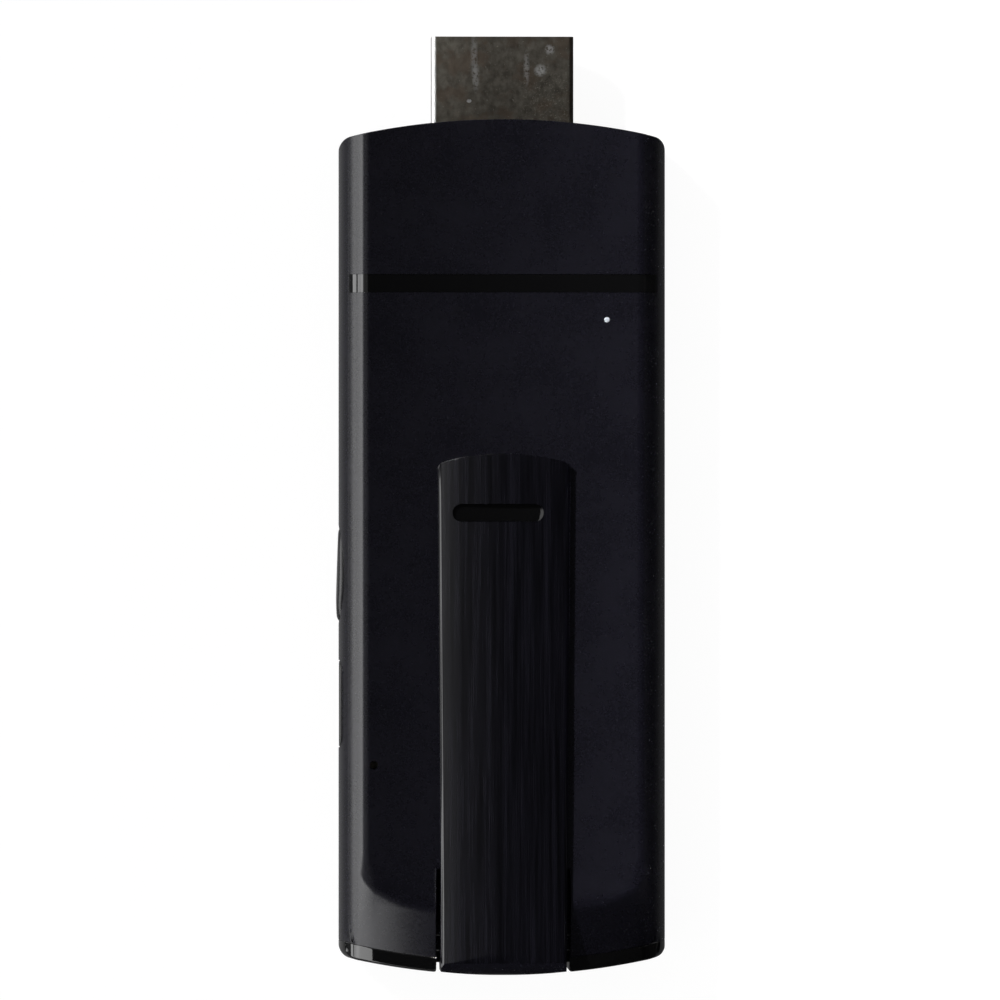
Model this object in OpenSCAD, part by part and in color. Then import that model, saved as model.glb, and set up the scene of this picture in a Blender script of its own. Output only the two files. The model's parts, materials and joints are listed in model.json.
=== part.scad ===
// Pocket wireless display receiver: a slim housing with a display plug at the nose, a key and a
// power port in its left side, and an antenna paddle that folds out of a notch in the tail.
// Millimetres. +Z up, +Y out of the plug. The origin is the middle of the flat underside.

/* [Body] */
// Width of the housing at its widest line
body_w = 32; // [31.5:0.1:34]
// Length of the housing without the plug
body_l = 83.6; // [83:0.2:90]
// Height of the housing without the paddle
body_h = 11; // [10.8:0.1:12]
// Width of the rolled edge beside the flat top and the flat underside
roll_w = 2.5; // [2.2:0.05:2.8]
// Plan radius of the bowed nose and tail
end_r = 68; // [60:1:90]
// Plan radius of the four corners
corner_r = 1.4; // [1:0.1:1.8]
// Thickness of the housing walls
wall = 1.3; // [1.1:0.05:1.4]
// Height of the cover's edge above the seam with the tray
cover_h = 2; // [1.8:0.05:2.1]
// Depth of the lip that locates the cover in the tray
lip_h = 1; // [0.6:0.1:1.1]
// Thickness of that lip
lip_t = 0.8; // [0.6:0.1:1]

/* [Tail] */
// Length of the sloped face before the tail
bevel_l = 6.6; // [6:0.1:7.2]
// Slope of that face
bevel_a = 20; // [18:0.5:20.5]
// Radius that turns the slope into the tail
tail_r = 2; // [1.8:0.1:2.4]
// Radius under the tail
tail_under_r = 1.5; // [1:0.1:2]
// Thickness of the end cap
cap_t = 1.45; // [1.3:0.05:1.6]
// Set-back of the tail inside the notch
notch_setback = 1; // [0.8:0.05:1.1]
// Thickness of the cap's bridge across the notch
cap_bridge_t = 1.2; // [1:0.1:1.5]
// Thickness of the cover over the hinge ears
cover_over_ear_t = 0.6; // [0.5:0.05:0.7]

/* [Trim band] */
// Distance of the band's middle from the nose
band_from_nose = 16; // [14:0.5:18]
// Width of the band
band_w = 1.8; // [1.4:0.1:2.2]
// Thickness of the band
band_t = 0.6; // [0.4:0.05:0.7]
// How far the band lies below the cover's face
band_recess = 0.05; // [0.03:0.01:0.1]

/* [Paddle] */
// Width of the paddle at its free tip
paddle_tip_w = 13; // [12.8:0.1:13.2]
// Width of the paddle at its hinge
paddle_hinge_w = 12.25; // [12:0.05:12.4]
// Width of the notch that holds the hinge
notch_w = 13; // [12.9:0.1:13.4]
// Distance of the free tip from the nose
paddle_tip_from_nose = 32.6; // [31:0.2:36]
// Distance of the paddle's heel from the tail
heel_from_tail = 0.1; // [0.05:0.05:0.3]
// Thickness of the paddle at its crown
paddle_t = 1.42; // [1.35:0.01:1.6]
// Gap between the folded paddle and the cover
paddle_gap = 0.08; // [0.05:0.01:0.12]
// Thickness of the paddle's top skin at its crown
skin_t = 0.75; // [0.65:0.05:0.8]
// Cross radius of the paddle's crown
crown_r = 51; // [45:1:80]
// Plan radius of the free tip
tip_r = 22; // [20:1:30]
// Corner radius of the free tip
tip_corner_r = 0.8; // [0.5:0.1:1.2]
// Chamfer along the long edges of the skin
edge_chamfer = 0.28; // [0.2:0.02:0.3]
// Height of the paddle's top above the hinge axis
hinge_r = 4.6; // [4.5:0.05:4.7]
// Radius that rounds the heel
heel_r = 2.4; // [2.2:0.1:2.8]
// Running gap around the turning heel
heel_gap = 0.2; // [0.15:0.05:0.3]
// Length of the fingernail slot
nail_l = 8.9; // [8:0.1:10]
// Width of the fingernail slot
nail_w = 1.75; // [1.5:0.05:2]
// Distance of the slot's middle from the free tip
nail_from_tip = 5.79; // [5:0.1:7]
// Radius of the hinge pins
pin_r = 0.85; // [0.8:0.01:0.88]
// Radial clearance of the hinge pins
pin_clear = 0.05; // [0.03:0.01:0.08]
// Length of each hinge pin
pin_l = 1.95; // [1.8:0.05:2]
// Thickness of the hinge ears
ear_t = 1.9; // [1.7:0.1:2]

/* [Display plug] */
// Width of the plug shell
plug_w = 13.9; // [13.7:0.1:14]
// Height of the plug shell
plug_h = 4.45; // [4.3:0.05:4.5]
// Width of the plug's narrow underside
plug_low_w = 10.2; // [9.8:0.1:10.6]
// Height of the plug's straight flanks
plug_flank_h = 2.7; // [2.5:0.1:2.9]
// Corner radius of the plug shell
plug_corner_r = 0.45; // [0.35:0.05:0.6]
// Sheet thickness of the plug shell
plug_sheet = 0.3; // [0.25:0.01:0.35]
// Length of plug in front of the nose
plug_out = 8.2; // [8:0.1:9]
// Length of plug shell behind the nose's tip
plug_in = 8.3; // [8:0.1:8.6]
// Pitch of the contacts in one row
contact_pitch = 1; // [0.9:0.05:1]
// Number of contacts in the upper row
upper_contacts = 10; // [8:1:10]

/* [Side key and power port] */
// Distance of the key's middle behind the middle of the body
key_back = 2.6; // [2.2:0.1:3]
// Length of the key's opening
key_l = 9.8; // [9.2:0.1:10]
// Height of the housing left below and above the key's opening
key_rim = 2.77; // [2.7:0.01:3]
// Clearance round the key
key_clear = 0.12; // [0.08:0.01:0.16]
// How far the key's crest stands out
key_proud = 0.33; // [0.2:0.01:0.4]
// Share of the key's length behind its middle where the crest lies
key_crest_share = 0.33; // [0.2:0.01:0.36]
// Travel of the key and its switch
key_travel = 0.25; // [0.2:0.01:0.3]
// Distance of the port's middle behind the middle of the body
port_back = 15.3; // [14.8:0.1:16]
// Length of the port's opening
port_open_l = 8.6; // [8.2:0.1:9]
// Height of the port's opening
port_open_h = 4.4; // [4:0.1:4.6]
// Width of the port's shell
port_w = 7.5; // [7.3:0.1:7.7]
// Height of the port's shell
port_h = 2.6; // [2.5:0.05:2.7]
// Length of the port's shell
port_l = 5.4; // [5:0.1:5.8]
// Sheet thickness of the port's shell
port_sheet = 0.25; // [0.2:0.01:0.3]

/* [Circuit board] */
// Distance of the board's edges from the housing's widest line
board_side_gap = 2.2; // [2.1:0.05:2.5]
// Thickness of the board
board_t = 1; // [0.8:0.05:1.05]
// Gap between the board and the walls at its two ends
board_end_gap = 0.8; // [0.6:0.1:1]
// Side length of the processor
processor_w = 12; // [11:0.5:13]
// Height of the processor and of the memory chips
chip_h = 1.2; // [1:0.05:1.3]
// Thickness of the thermal pads
pad_t = 0.6; // [0.5:0.05:0.8]
// Thickness of the heat spreader
spreader_t = 1; // [0.6:0.1:1.2]
// Radius of the board screws' shanks
screw_r = 0.8; // [0.7:0.05:0.9]
// Radius of the reset pinhole
pinhole_r = 0.42; // [0.35:0.01:0.5]
// Radius of the light pipe's tip
pipe_tip_r = 0.27; // [0.2:0.01:0.35]
// Radius of the antenna cable
cable_r = 0.4; // [0.35:0.01:0.42]

/* [Hidden] */
$fn = 64;

// Overrun of every cut past the face that it goes through
over = 1;
// Steps on a small corner and on a long bow
corner_steps = 6;
bow_steps = 10;
// Smallest inner corner of an inset outline
inner_corner_r = 0.3;
// Gap between pieces of one body that slide together
slip = 0.05;
// Gap between the faces of two pieces where one pushes the other
push_gap = 0.02;

// Housing
half_w = body_w / 2;
half_l = body_l / 2;
mid_z = body_h / 2;
seam_z = body_h - cover_h;
side_r = (roll_w * roll_w + mid_z * mid_z) / (2 * roll_w);
side_x = half_w - side_r;
bow_y = half_l - end_r;
bevel_r = end_r - bevel_l;
tail_z = body_h - (tail_r - (tail_r - bevel_l) * sin(bevel_a)) / cos(bevel_a);
inner_side_r = side_r - wall;
cover_in_z = body_h - wall;

// Paddle and its hinge
paddle_z = body_h + paddle_gap;
paddle_top_z = paddle_z + paddle_t;
skin_z = paddle_top_z - skin_t;
heel_y = -half_l + heel_from_tail;
tip_y = half_l - paddle_tip_from_nose;
hinge_y = heel_y + hinge_r;
hinge_z = paddle_top_z - hinge_r;
sweep_r = (hinge_r - heel_r) * sqrt(2) + heel_r + heel_gap;
notch_y = hinge_y + sweep_r;
notch_z = hinge_z - sweep_r;
notch_end_y = -half_l + notch_setback;
nail_y = tip_y - nail_from_tip;
skin_end_y = heel_y + heel_r / 2;
hinge_half = paddle_hinge_w / 2;
pin_bore_r = pin_r + pin_clear;
ear_x = notch_w / 2;
ear_out_x = ear_x + ear_t;
bay_x = ear_out_x + slip;
bay_wall = 1;
bay_out_x = bay_x + bay_wall;
bay_front_y = notch_y + bay_wall;
antenna_t = 0.3;
antenna_w = 9;
antenna_gap = 0.05;
antenna_y1 = nail_y - nail_w;
antenna_y0 = notch_y - wall;
barrel_hollow_r = hinge_r - 2 * wall;
barrel_end_t = 1.95;
barrel_hollow_half = hinge_half - barrel_end_t;
lead_bore_r = cable_r + 2 * pin_clear;

// Board
board_y0 = bay_front_y + board_end_gap;
board_half = half_w - board_side_gap;
board_y1 = half_l - wall - 2 * board_end_gap - (end_r - sqrt(end_r * end_r - board_half * board_half));
board_top_z = mid_z - port_h / 2;
board_z = board_top_z - board_t;
boss_r = 1.8;
screw_head_r = 1.4;
screw_head_h = 0.9;
screw_depth = 1.2;
screw_slip = 0.02;
screw_inset = 2.6;
screw_hole_gap = 0.08;
board_hole_r = screw_r + screw_hole_gap;
boss_x = board_half - screw_inset;
boss_front_y = half_l - plug_in - screw_inset;
boss_back_y = board_y0 + screw_inset;
screw_places = [[-boss_x, boss_back_y], [boss_x, boss_front_y]];
post_places = [[boss_x, boss_back_y], [-boss_x, boss_front_y]];

// Plug
nose_y = half_l;
plug_y1 = nose_y + plug_out;
plug_y0 = nose_y - plug_in;
plug_gap = 0.1;
plug_slot_w = 11.2;
plug_slot_h = 1.9;
plug_slot_l = 6.4;
plug_face_set = 0.6;
plug_inner_corner_r = 0.14;
insulator_set = 0.3;
contact_w = 0.4;
contact_t = 0.25;
contact_bare = 0.1;
contact_front_set = 1.2;
tail_foot = 1.1;
upper_tail_set = 2.6;
lower_tail_set = 1.4;
wing_w = 1.6;
wing_l = 2;
wing_set = 1.4;
wing_t = 0.3;
plug_half_slot = plug_slot_h / 2;
wide_z = mid_z + plug_h / 2;
plug_outline = [
    [-plug_w / 2, wide_z - plug_flank_h],
    [-plug_low_w / 2, wide_z - plug_h],
    [plug_low_w / 2, wide_z - plug_h],
    [plug_w / 2, wide_z - plug_flank_h],
    [plug_w / 2, wide_z],
    [-plug_w / 2, wide_z]
];

// Side key and its switch
key_y = -key_back;
key_h = body_h - 2 * key_rim;
key_crest_y = key_y - key_crest_share * key_l;
flange_gap = 0.1;
flange_t = 0.9;
flange_rim = 0.5;
flange_in_r = inner_side_r - flange_gap - flange_t;
key_back_x = side_x + flange_in_r;
stem_w = 2;
stem_h = 1.6;
stem_l = 0.5;
stem_x = key_back_x - stem_l;
plunger_out = 0.5;
plunger_in = 0.5;
plunger_w = 1.6;
plunger_h = 1;
plunger_slip = 0.06;
switch_l = 3;
switch_w = 4.6;
switch_x = stem_x - push_gap - plunger_out;
board_notch_gap = 0.2;
flange_low_x = side_x + sqrt(flange_in_r * flange_in_r - pow(mid_z - board_z, 2));
board_notch_x = flange_low_x - key_travel - board_notch_gap;
board_notch_half = key_l / 2 + flange_rim + board_notch_gap;

// Power port
port_y = -port_back;
port_mouth_set = 1;
port_x = half_w - port_mouth_set;
port_corner = 0.9;
port_open_r = 1.2;
port_tongue_w = 3.7;
port_tongue_t = 0.6;
port_tongue_set = 0.6;
port_back_t = 1;
port_contact_w = 0.25;
port_contact_t = 0.15;
port_contact_pitch = 0.65;
port_contacts_n = 5;

// What sits on the board, from the plug's feet backwards
feet_gap = 4.6;
flash_size = [8, 6, 0.9];
flash_gap = 1.2;
flash_y = plug_y0 - upper_tail_set - tail_foot - feet_gap - flash_size[1] / 2;
processor_at = [
    (board_half + switch_l - switch_x) / 2,
    flash_y - flash_size[1] / 2 - flash_gap - processor_w / 2
];
memory_size = [7.6, 10.8];
memory_gap = 1.1;
memory_back = 1.6;
module_size = [12, 11.6, 1.8];
module_at_x = 4.4;
module_gap = 1.5;
module_step = 0.4;
inductor_w = 4;
inductor_h = 2;
inductor_r = 0.8;
inductor_gap = 0.8;
cap_size = [0.8, 1.6, 0.8];
cap_gap = 1;
cap_step = 2.2;
caps_n = 5;
crystal_size = [2.5, 3.2, 0.8];
crystal_gap = 1.6;
spreader_rim = 1.5;
spreader_corner = 1.2;
memory_y = processor_at[1] - processor_w / 2 - memory_back - memory_size[1] / 2;
memory_dx = (memory_size[0] + memory_gap) / 2;
module_y = memory_y - memory_size[1] / 2 - module_gap - module_size[1] / 2;
chip_top_z = board_top_z + chip_h;
spreader_z = chip_top_z + pad_t;

// Reset switch and pinhole, status light and its pipe
reset_edge = 1.14;
reset_x = -(board_half - reset_edge);
reset_back = 21.2;
reset_y = -reset_back;
reset_size = [2.2, 3.2, 1.4];
reset_plunger_r = 0.55;
reset_plunger_in = 0.7;
reset_plunger_out = 0.5;
guide_t = 0.45;
guide_gap = 0.6;
guide_r = pinhole_r + guide_t;
led_from_side = 5.93;
led_x = half_w - led_from_side;
led_from_nose = 19.55;
led_y = half_l - led_from_nose;
led_size = [0.8, 1.6, 0.6];
led_gap = 0.15;
pipe_r = 0.8;
pipe_guide_l = 2.2;
pipe_set = 0.02;

// Antenna cable: a small plug on the board, then out to the hinge axis
coax_r = 1;
coax_h = 1.2;
coax_run = 2.9;
cable_side_x = bay_out_x + 2 * cable_r + slip;
cable_z = board_top_z + coax_h / 2;
coax_x = cable_side_x - coax_run;
coax_y = module_y - module_size[1] / 2 - coax_r - cable_r;
cable_end_x = barrel_hollow_half / 2;
cable_bend = 1;
cable_sides = 8;
bend_shares = [0, 0.3, 0.7, 1];
cable_route = [
    [coax_x, coax_y, cable_z],
    [cable_side_x, coax_y, cable_z],
    [cable_side_x, bay_front_y, cable_z],
    [cable_side_x, hinge_y, hinge_z],
    [cable_end_x, hinge_y, hinge_z]
];

// Points of an arc about a centre, from one angle to another
function arc_points(centre, r, a0, a1, n) =
    [for (i = [0:n]) centre + r * [cos(a0 + (a1 - a0) * i / n), sin(a0 + (a1 - a0) * i / n)]];

function unit(v) = v / norm(v);
function inward(a, b) = let (d = unit(b - a)) [-d[1], d[0]];

// An anticlockwise outline moved inwards by t
function inset_points(p, t) = [
    for (i = [0:len(p) - 1])
        let (
            b = p[i],
            n1 = inward(p[(i + len(p) - 1) % len(p)], b),
            n2 = inward(b, p[(i + 1) % len(p)])
        )
        b + (n1 + n2) * t / (1 + n1 * n2)
];

// The arc that rounds corner b between a and c
function fillet_points(a, b, c, r) =
    let (
        u = unit(a - b),
        v = unit(c - b),
        half = acos(u * v) / 2,
        centre = b + unit(u + v) * r / sin(half),
        p = b + u * r / tan(half) - centre,
        q = b + v * r / tan(half) - centre,
        a0 = atan2(p[1], p[0]),
        turn = atan2(p[0] * q[1] - p[1] * q[0], p * q)
    )
    arc_points(centre, r, a0, a0 + turn, corner_steps);

// An outline with each corner rounded by its own radius in the list, or left sharp at zero
function rounded_points(p, radii) = [
    for (i = [0:len(p) - 1])
        let (r = radii[i % len(radii)])
        each r > 0
            ? fillet_points(p[(i + len(p) - 1) % len(p)], p[i], p[(i + 1) % len(p)], r)
            : [p[i]]
];

function box_points(w, l) = [[-w / 2, -l / 2], [w / 2, -l / 2], [w / 2, l / 2], [-w / 2, l / 2]];

// Plan outline of the housing, moved inwards by t: a corner arc, then half of the bowed end
function plan_quarter(t) =
    let (
        r = max(corner_r - t, inner_corner_r),
        cx = half_w - t - r,
        cy = bow_y + sqrt(pow(end_r - t - r, 2) - cx * cx),
        a = atan2(cy - bow_y, cx)
    )
    concat(
        arc_points([cx, cy], r, 0, a, corner_steps),
        arc_points([0, bow_y], end_r - t, a, 90, bow_steps)
    );
function plan_half(t) =
    let (q = plan_quarter(t))
    concat(
        [for (i = [0:len(q) - 2]) if (i != corner_steps) q[i]],
        [[0, bow_y + end_r - t]],
        [for (i = [len(q) - 2:-1:0]) if (i != corner_steps) [-q[i][0], q[i][1]]]
    );
function plan_points(t) =
    let (h = plan_half(t))
    concat(h, [for (i = [len(h) - 1:-1:0]) [h[i][0], -h[i][1]]]);

// Cross-section of the housing, moved inwards by t: flat faces between bulging sides
module section_2d(t) {
    intersection() {
        translate([-half_w, t]) square([body_w, body_h - 2 * t]);
        union() {
            translate([-side_x, t]) square([2 * side_x, body_h - 2 * t]);
            for (s = [-1, 1]) translate([s * side_x, mid_z]) circle(r = side_r - t);
        }
    }
}

// Half of the tail's profile, moved inwards by t, for turning about the bow's centre
function tail_points(t) =
    let (r = max(tail_r - t, inner_corner_r), u = max(tail_under_r - t, inner_corner_r))
    concat(
        [[0, t]],
        arc_points([end_r - t - u, t + u], u, -90, 0, corner_steps),
        arc_points([end_r - t - r, tail_z], r, 0, 90 - bevel_a, corner_steps),
        [[bevel_r - t * tan(bevel_a / 2), body_h - t], [0, body_h - t]]
    );

// Anything drawn in X and Z, carried along Y from y0 to y1
module along_y(y0, y1) {
    translate([0, y1, 0]) rotate([90, 0, 0]) linear_extrude(y1 - y0) children();
}

// Anything drawn in Y and Z, carried along X from x0 to x1
module along_x(x0, x1) {
    translate([x0, 0, 0]) rotate([90, 0, 90]) linear_extrude(x1 - x0) children();
}

// A bar or bore along X between two places
module bar_x(x0, x1, y, z, r) {
    translate([x0, y, z]) rotate([0, 90, 0]) cylinder(r = r, h = x1 - x0);
}

// A block between its lowest and its highest corner
module block(low, high) {
    translate(low) cube(high - low);
}

// The whole housing's form, moved inwards by t
module body_form(t) {
    intersection() {
        along_y(-half_l, half_l) section_2d(t);
        linear_extrude(body_h) polygon(plan_points(t));
        translate([0, -bow_y, 0]) rotate_extrude() polygon(tail_points(t));
    }
}

// Everything nearer the tail than t, inside the bow
module tail_zone(t) {
    difference() {
        block([-half_w - over, -half_l - over, -over], [half_w + over, -half_l + bevel_l, body_h + over]);
        translate([0, -bow_y, -2 * over]) cylinder(r = end_r - t, h = body_h + 4 * over);
    }
}

// The space inside the walls, without the hinge bay
module cavity() {
    difference() {
        body_form(wall);
        block([-bay_out_x, -half_l - over, -over], [bay_out_x, bay_front_y, body_h + over]);
    }
}

// The bay that the hinge turns in, open at the tail
module hinge_bay(half) {
    block([-half, -half_l - over, notch_z], [half, notch_y, body_h + over]);
}

module key_outline(grow) {
    polygon([
        for (i = [0:4 * corner_steps - 1])
            let (a = 360 * i / (4 * corner_steps))
            [key_y + (key_l / 2 + grow) * cos(a), mid_z + (key_h / 2 + grow) * sin(a)]
    ]);
}

module port_opening() {
    translate([port_y, mid_z])
        polygon(rounded_points(box_points(port_open_l, port_open_h), [port_open_r]));
}

module plug_opening() {
    polygon(rounded_points(inset_points(plug_outline, -plug_gap), [plug_corner_r]));
}

// Upright posts that the board lies on
module board_posts() {
    for (p = concat(screw_places, post_places))
        translate([p[0], p[1], wall / 2]) cylinder(r = boss_r, h = board_z - wall / 2);
}

module screw_holes() {
    for (p = screw_places)
        translate([p[0], p[1], board_z - screw_depth - slip])
            cylinder(r = screw_r + screw_slip, h = screw_depth + over);
}

module lower_housing() {
    color("#17171a")
        difference() {
            union() {
                difference() {
                    body_form(0);
                    block(
                        [-half_w - over, -half_l - over, seam_z],
                        [half_w + over, half_l + over, body_h + over]
                    );
                    cavity();
                }
                board_posts();
            }
            screw_holes();
            tail_zone(cap_t);
            hinge_bay(bay_x);
            block([-bay_x, -half_l - over, -over], [bay_x, notch_end_y + cap_bridge_t, body_h]);
            along_x(-half_w - over, -side_x) key_outline(0);
            along_x(-half_w - over, -side_x) port_opening();
            along_y(half_l - plug_in, half_l + over) plug_opening();
            block(
                [ear_x, hinge_y - cable_r - pin_clear, hinge_z - cable_r - pin_clear],
                [bay_out_x + over, hinge_y + cable_r + pin_clear, body_h + over]
            );
        }
}

// Stretches of lip under the cover, clear of the side key
module cover_lip() {
    key_end = key_l / 2 + flange_rim + 2 * board_notch_gap;
    stretches = [[key_y + key_end, boss_front_y], [board_y0, key_y - key_end]];
    for (s = stretches) {
        lip_band(s, wall + slip, seam_z - lip_h, seam_z);
        lip_band(s, wall / 2, seam_z, cover_in_z);
    }
}

// One height of the lip on both sides, from an inset of the housing's form inwards
module lip_band(ends, inset, low_z, high_z) {
    difference() {
        intersection() {
            body_form(inset);
            block([-half_w, ends[0], low_z], [half_w, ends[1], high_z]);
        }
        body_form(wall + slip + lip_t);
        block([-side_x - lip_t, -half_l, 0], [side_x + lip_t, half_l, body_h]);
    }
}

// A short tube under the cover
module guide(x, y, r, low_z) {
    translate([x, y, low_z]) cylinder(r = r, h = cover_in_z + wall / 2 - low_z);
}

module upper_cover() {
    pipe_hole_r = pipe_tip_r + screw_slip;
    reset_guide_z = board_top_z + reset_size[2] + reset_plunger_out + guide_gap;
    color("#1a1a1e")
        difference() {
            union() {
                difference() {
                    body_form(0);
                    block([-half_w - over, -half_l - over, -over], [half_w + over, half_l + over, seam_z]);
                    cavity();
                }
                cover_lip();
                guide(reset_x, reset_y, guide_r, reset_guide_z);
                guide(led_x, led_y, pipe_r + guide_t, cover_in_z - pipe_guide_l);
            }
            tail_zone(cap_t);
            hinge_bay(ear_x);
            intersection() {
                body_form(cover_over_ear_t);
                hinge_bay(bay_out_x + slip);
            }
            block(
                [-bay_out_x - slip, notch_y - over, -over],
                [bay_out_x + slip, bay_front_y + slip, cover_in_z + slip]
            );
            translate([reset_x, reset_y, 0]) cylinder(r = pinhole_r, h = body_h + over);
            translate([led_x, led_y, 0]) cylinder(r = pipe_hole_r, h = body_h + over);
            translate([led_x, led_y, 0]) cylinder(r = pipe_r + screw_slip, h = cover_in_z);
            band_groove();
        }
}

// The strip of the housing's skin that the trim band fills
module band_zone(low, high, gap) {
    band_y = half_l - band_from_nose;
    difference() {
        intersection() {
            body_form(high);
            block([-half_w, band_y - band_w / 2 + gap, seam_z], [half_w, band_y + band_w / 2 - gap, body_h]);
        }
        body_form(low);
    }
}

module band_groove() {
    band_zone(band_t + band_recess, 0, 0);
}

module trim_band() {
    color("#0b0b0c") band_zone(band_t + band_recess, band_recess, screw_slip);
}

module end_cap() {
    color("#0c0c0d")
        difference() {
            union() {
                intersection() {
                    body_form(0);
                    tail_zone(cap_t);
                }
                intersection() {
                    body_form(cover_over_ear_t + slip);
                    union() {
                        for (s = [-1, 1])
                            block(
                                [s * (ear_x + ear_t / 2) - ear_t / 2, -half_l, notch_z + slip],
                                [s * (ear_x + ear_t / 2) + ear_t / 2, notch_y - slip, body_h]
                            );
                        block(
                            [-bay_x + slip, -half_l, 0],
                            [bay_x - slip, notch_end_y + cap_bridge_t - slip, notch_z + wall / 2]
                        );
                    }
                }
            }
            hinge_bay(ear_x);
            block([-ear_x, -half_l - over, -over], [ear_x, notch_end_y, body_h]);
            bar_x(-ear_out_x - over, ear_out_x + over, hinge_y, hinge_z, pin_bore_r);
        }
}

module circuit_board() {
    plug_cut = plug_w / 2 + plug_gap;
    corner_cut = corner_r;
    outline = [
        [-board_half, board_y0], [board_half, board_y0],
        [board_half, board_y1 - corner_cut], [board_half - corner_cut, board_y1],
        [-board_half + corner_cut, board_y1], [-board_half, board_y1 - corner_cut]
    ];
    color("#10452a")
        translate([0, 0, board_z])
            linear_extrude(board_t)
                difference() {
                    polygon(outline);
                    translate([-plug_cut, plug_y0 - plug_gap]) square([2 * plug_cut, board_y1]);
                    translate([-board_half - over, key_y - board_notch_half])
                        square([board_half + over - board_notch_x, 2 * board_notch_half]);
                    for (p = screw_places) translate(p) circle(r = board_hole_r);
                }
}

module board_screws() {
    color("silver")
        for (p = screw_places)
            translate([p[0], p[1], board_top_z]) {
                difference() {
                    cylinder(r = screw_head_r, h = screw_head_h);
                    translate([0, 0, screw_head_h / 2]) {
                        block([-screw_r, -screw_r / 4, 0], [screw_r, screw_r / 4, screw_head_h]);
                        block([-screw_r / 4, -screw_r, 0], [screw_r / 4, screw_r, screw_head_h]);
                    }
                }
                translate([0, 0, -board_t - screw_depth]) cylinder(r = screw_r, h = board_t + screw_depth);
            }
}

module plug_profile(t) {
    polygon(rounded_points(inset_points(plug_outline, t), [max(plug_corner_r - t, plug_inner_corner_r)]));
}

// Bent sheet tube with two solder wings that lie on the board
module plug_shell() {
    color("#6f6c64") {
        along_y(plug_y0, plug_y1)
            difference() {
                plug_profile(0);
                plug_profile(plug_sheet);
            }
        for (s = [-1, 1])
            translate([s * (plug_w + wing_w) / 2, plug_y0 + wing_set, board_top_z])
                linear_extrude(wing_t) polygon(box_points(wing_w, wing_l));
    }
}

// Places of the contacts across the plug, upper row first
function row_xs(n) = [for (i = [0:n - 1]) (i - (n - 1) / 2) * contact_pitch];

module contact_bars(front_y, slack) {
    low_z = mid_z - plug_half_slot - contact_t + contact_bare;
    high_z = mid_z + plug_half_slot - contact_bare;
    for (row = [[upper_contacts, high_z], [upper_contacts - 1, low_z]])
        for (x = row_xs(row[0]))
            block(
                [x - contact_w / 2 - slack, plug_y0 - over, row[1] - slack],
                [x + contact_w / 2 + slack, front_y + slack, row[1] + contact_t + slack]
            );
}

module plug_insulator() {
    face_y = plug_y1 - plug_face_set;
    color("#141414")
        difference() {
            along_y(plug_y0 + insulator_set, face_y) plug_profile(plug_sheet);
            block(
                [-plug_slot_w / 2, face_y - plug_slot_l, mid_z - plug_half_slot],
                [plug_slot_w / 2, face_y + over, mid_z + plug_half_slot]
            );
            contact_bars(plug_y1 - contact_front_set, 0);
        }
}

// Two staggered rows of contacts, each with a foot on the board
module plug_contacts() {
    front_y = plug_y1 - contact_front_set;
    low_z = mid_z - plug_half_slot - contact_t + contact_bare;
    high_z = mid_z + plug_half_slot - contact_bare;
    color("#c8a24a") {
        for (x = row_xs(upper_contacts))
            translate([x - contact_w / 2, 0, 0]) {
                back_y = plug_y0 - upper_tail_set;
                block([0, back_y, high_z], [contact_w, front_y, high_z + contact_t]);
                block([0, back_y, board_top_z], [contact_w, back_y + contact_t, high_z + contact_t]);
                block(
                    [0, back_y - tail_foot, board_top_z],
                    [contact_w, back_y + contact_t, board_top_z + contact_t]
                );
            }
        for (x = row_xs(upper_contacts - 1))
            translate([x - contact_w / 2, 0, 0]) {
                back_y = plug_y0 - lower_tail_set;
                block([0, back_y, low_z], [contact_w, front_y, low_z + contact_t]);
                block([0, back_y, board_top_z], [contact_w, back_y + tail_foot, low_z + contact_t]);
            }
    }
}

// Micro port: the wide face is up, and the two lower corners are cut away
function port_outline(t) = inset_points([
    [-port_w / 2, port_corner], [-port_w / 2 + port_corner, 0],
    [port_w / 2 - port_corner, 0], [port_w / 2, port_corner],
    [port_w / 2, port_h], [-port_w / 2, port_h]
], t);

module port_profile(t) {
    translate([port_y, board_top_z])
        polygon(rounded_points(port_outline(t), [max(2 * port_sheet - t, port_sheet)]));
}

module port_shell() {
    color("#a8a8a8")
        difference() {
            along_x(-port_x, -port_x + port_l) port_profile(0);
            along_x(-port_x - over, -port_x + port_l - port_sheet) port_profile(port_sheet);
        }
}

module port_tongue() {
    tongue_z = board_top_z + port_h - port_sheet - 2 * port_tongue_t;
    back_x = -port_x + port_l - port_sheet;
    color("#161616")
        difference() {
            union() {
                along_x(back_x - port_back_t, back_x) port_profile(port_sheet);
                block(
                    [-port_x + port_tongue_set, port_y - port_tongue_w / 2, tongue_z],
                    [back_x, port_y + port_tongue_w / 2, tongue_z + port_tongue_t]
                );
            }
            port_contact_bars(tongue_z);
        }
}

module port_contact_bars(tongue_z) {
    for (i = [0:port_contacts_n - 1]) {
        y = port_y + (i - (port_contacts_n - 1) / 2) * port_contact_pitch;
        block(
            [-port_x + 2 * port_tongue_set, y - port_contact_w / 2, tongue_z],
            [-port_x + port_l - port_sheet, y + port_contact_w / 2, tongue_z + port_contact_t]
        );
    }
}

module port_contacts() {
    tongue_z = board_top_z + port_h - port_sheet - 2 * port_tongue_t;
    color("#c8a24a") port_contact_bars(tongue_z);
}

// A chip standing on the board
module chip(x, y, w, l, h) {
    block([x - w / 2, y - l / 2, board_top_z], [x + w / 2, y + l / 2, board_top_z + h]);
}

module processor() {
    color("#202022") chip(processor_at[0], processor_at[1], processor_w, processor_w, chip_h);
}

module memory_chips() {
    color("#202022")
        for (s = [-1, 1])
            chip(processor_at[0] + s * memory_dx, memory_y, memory_size[0], memory_size[1], chip_h);
}

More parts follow.
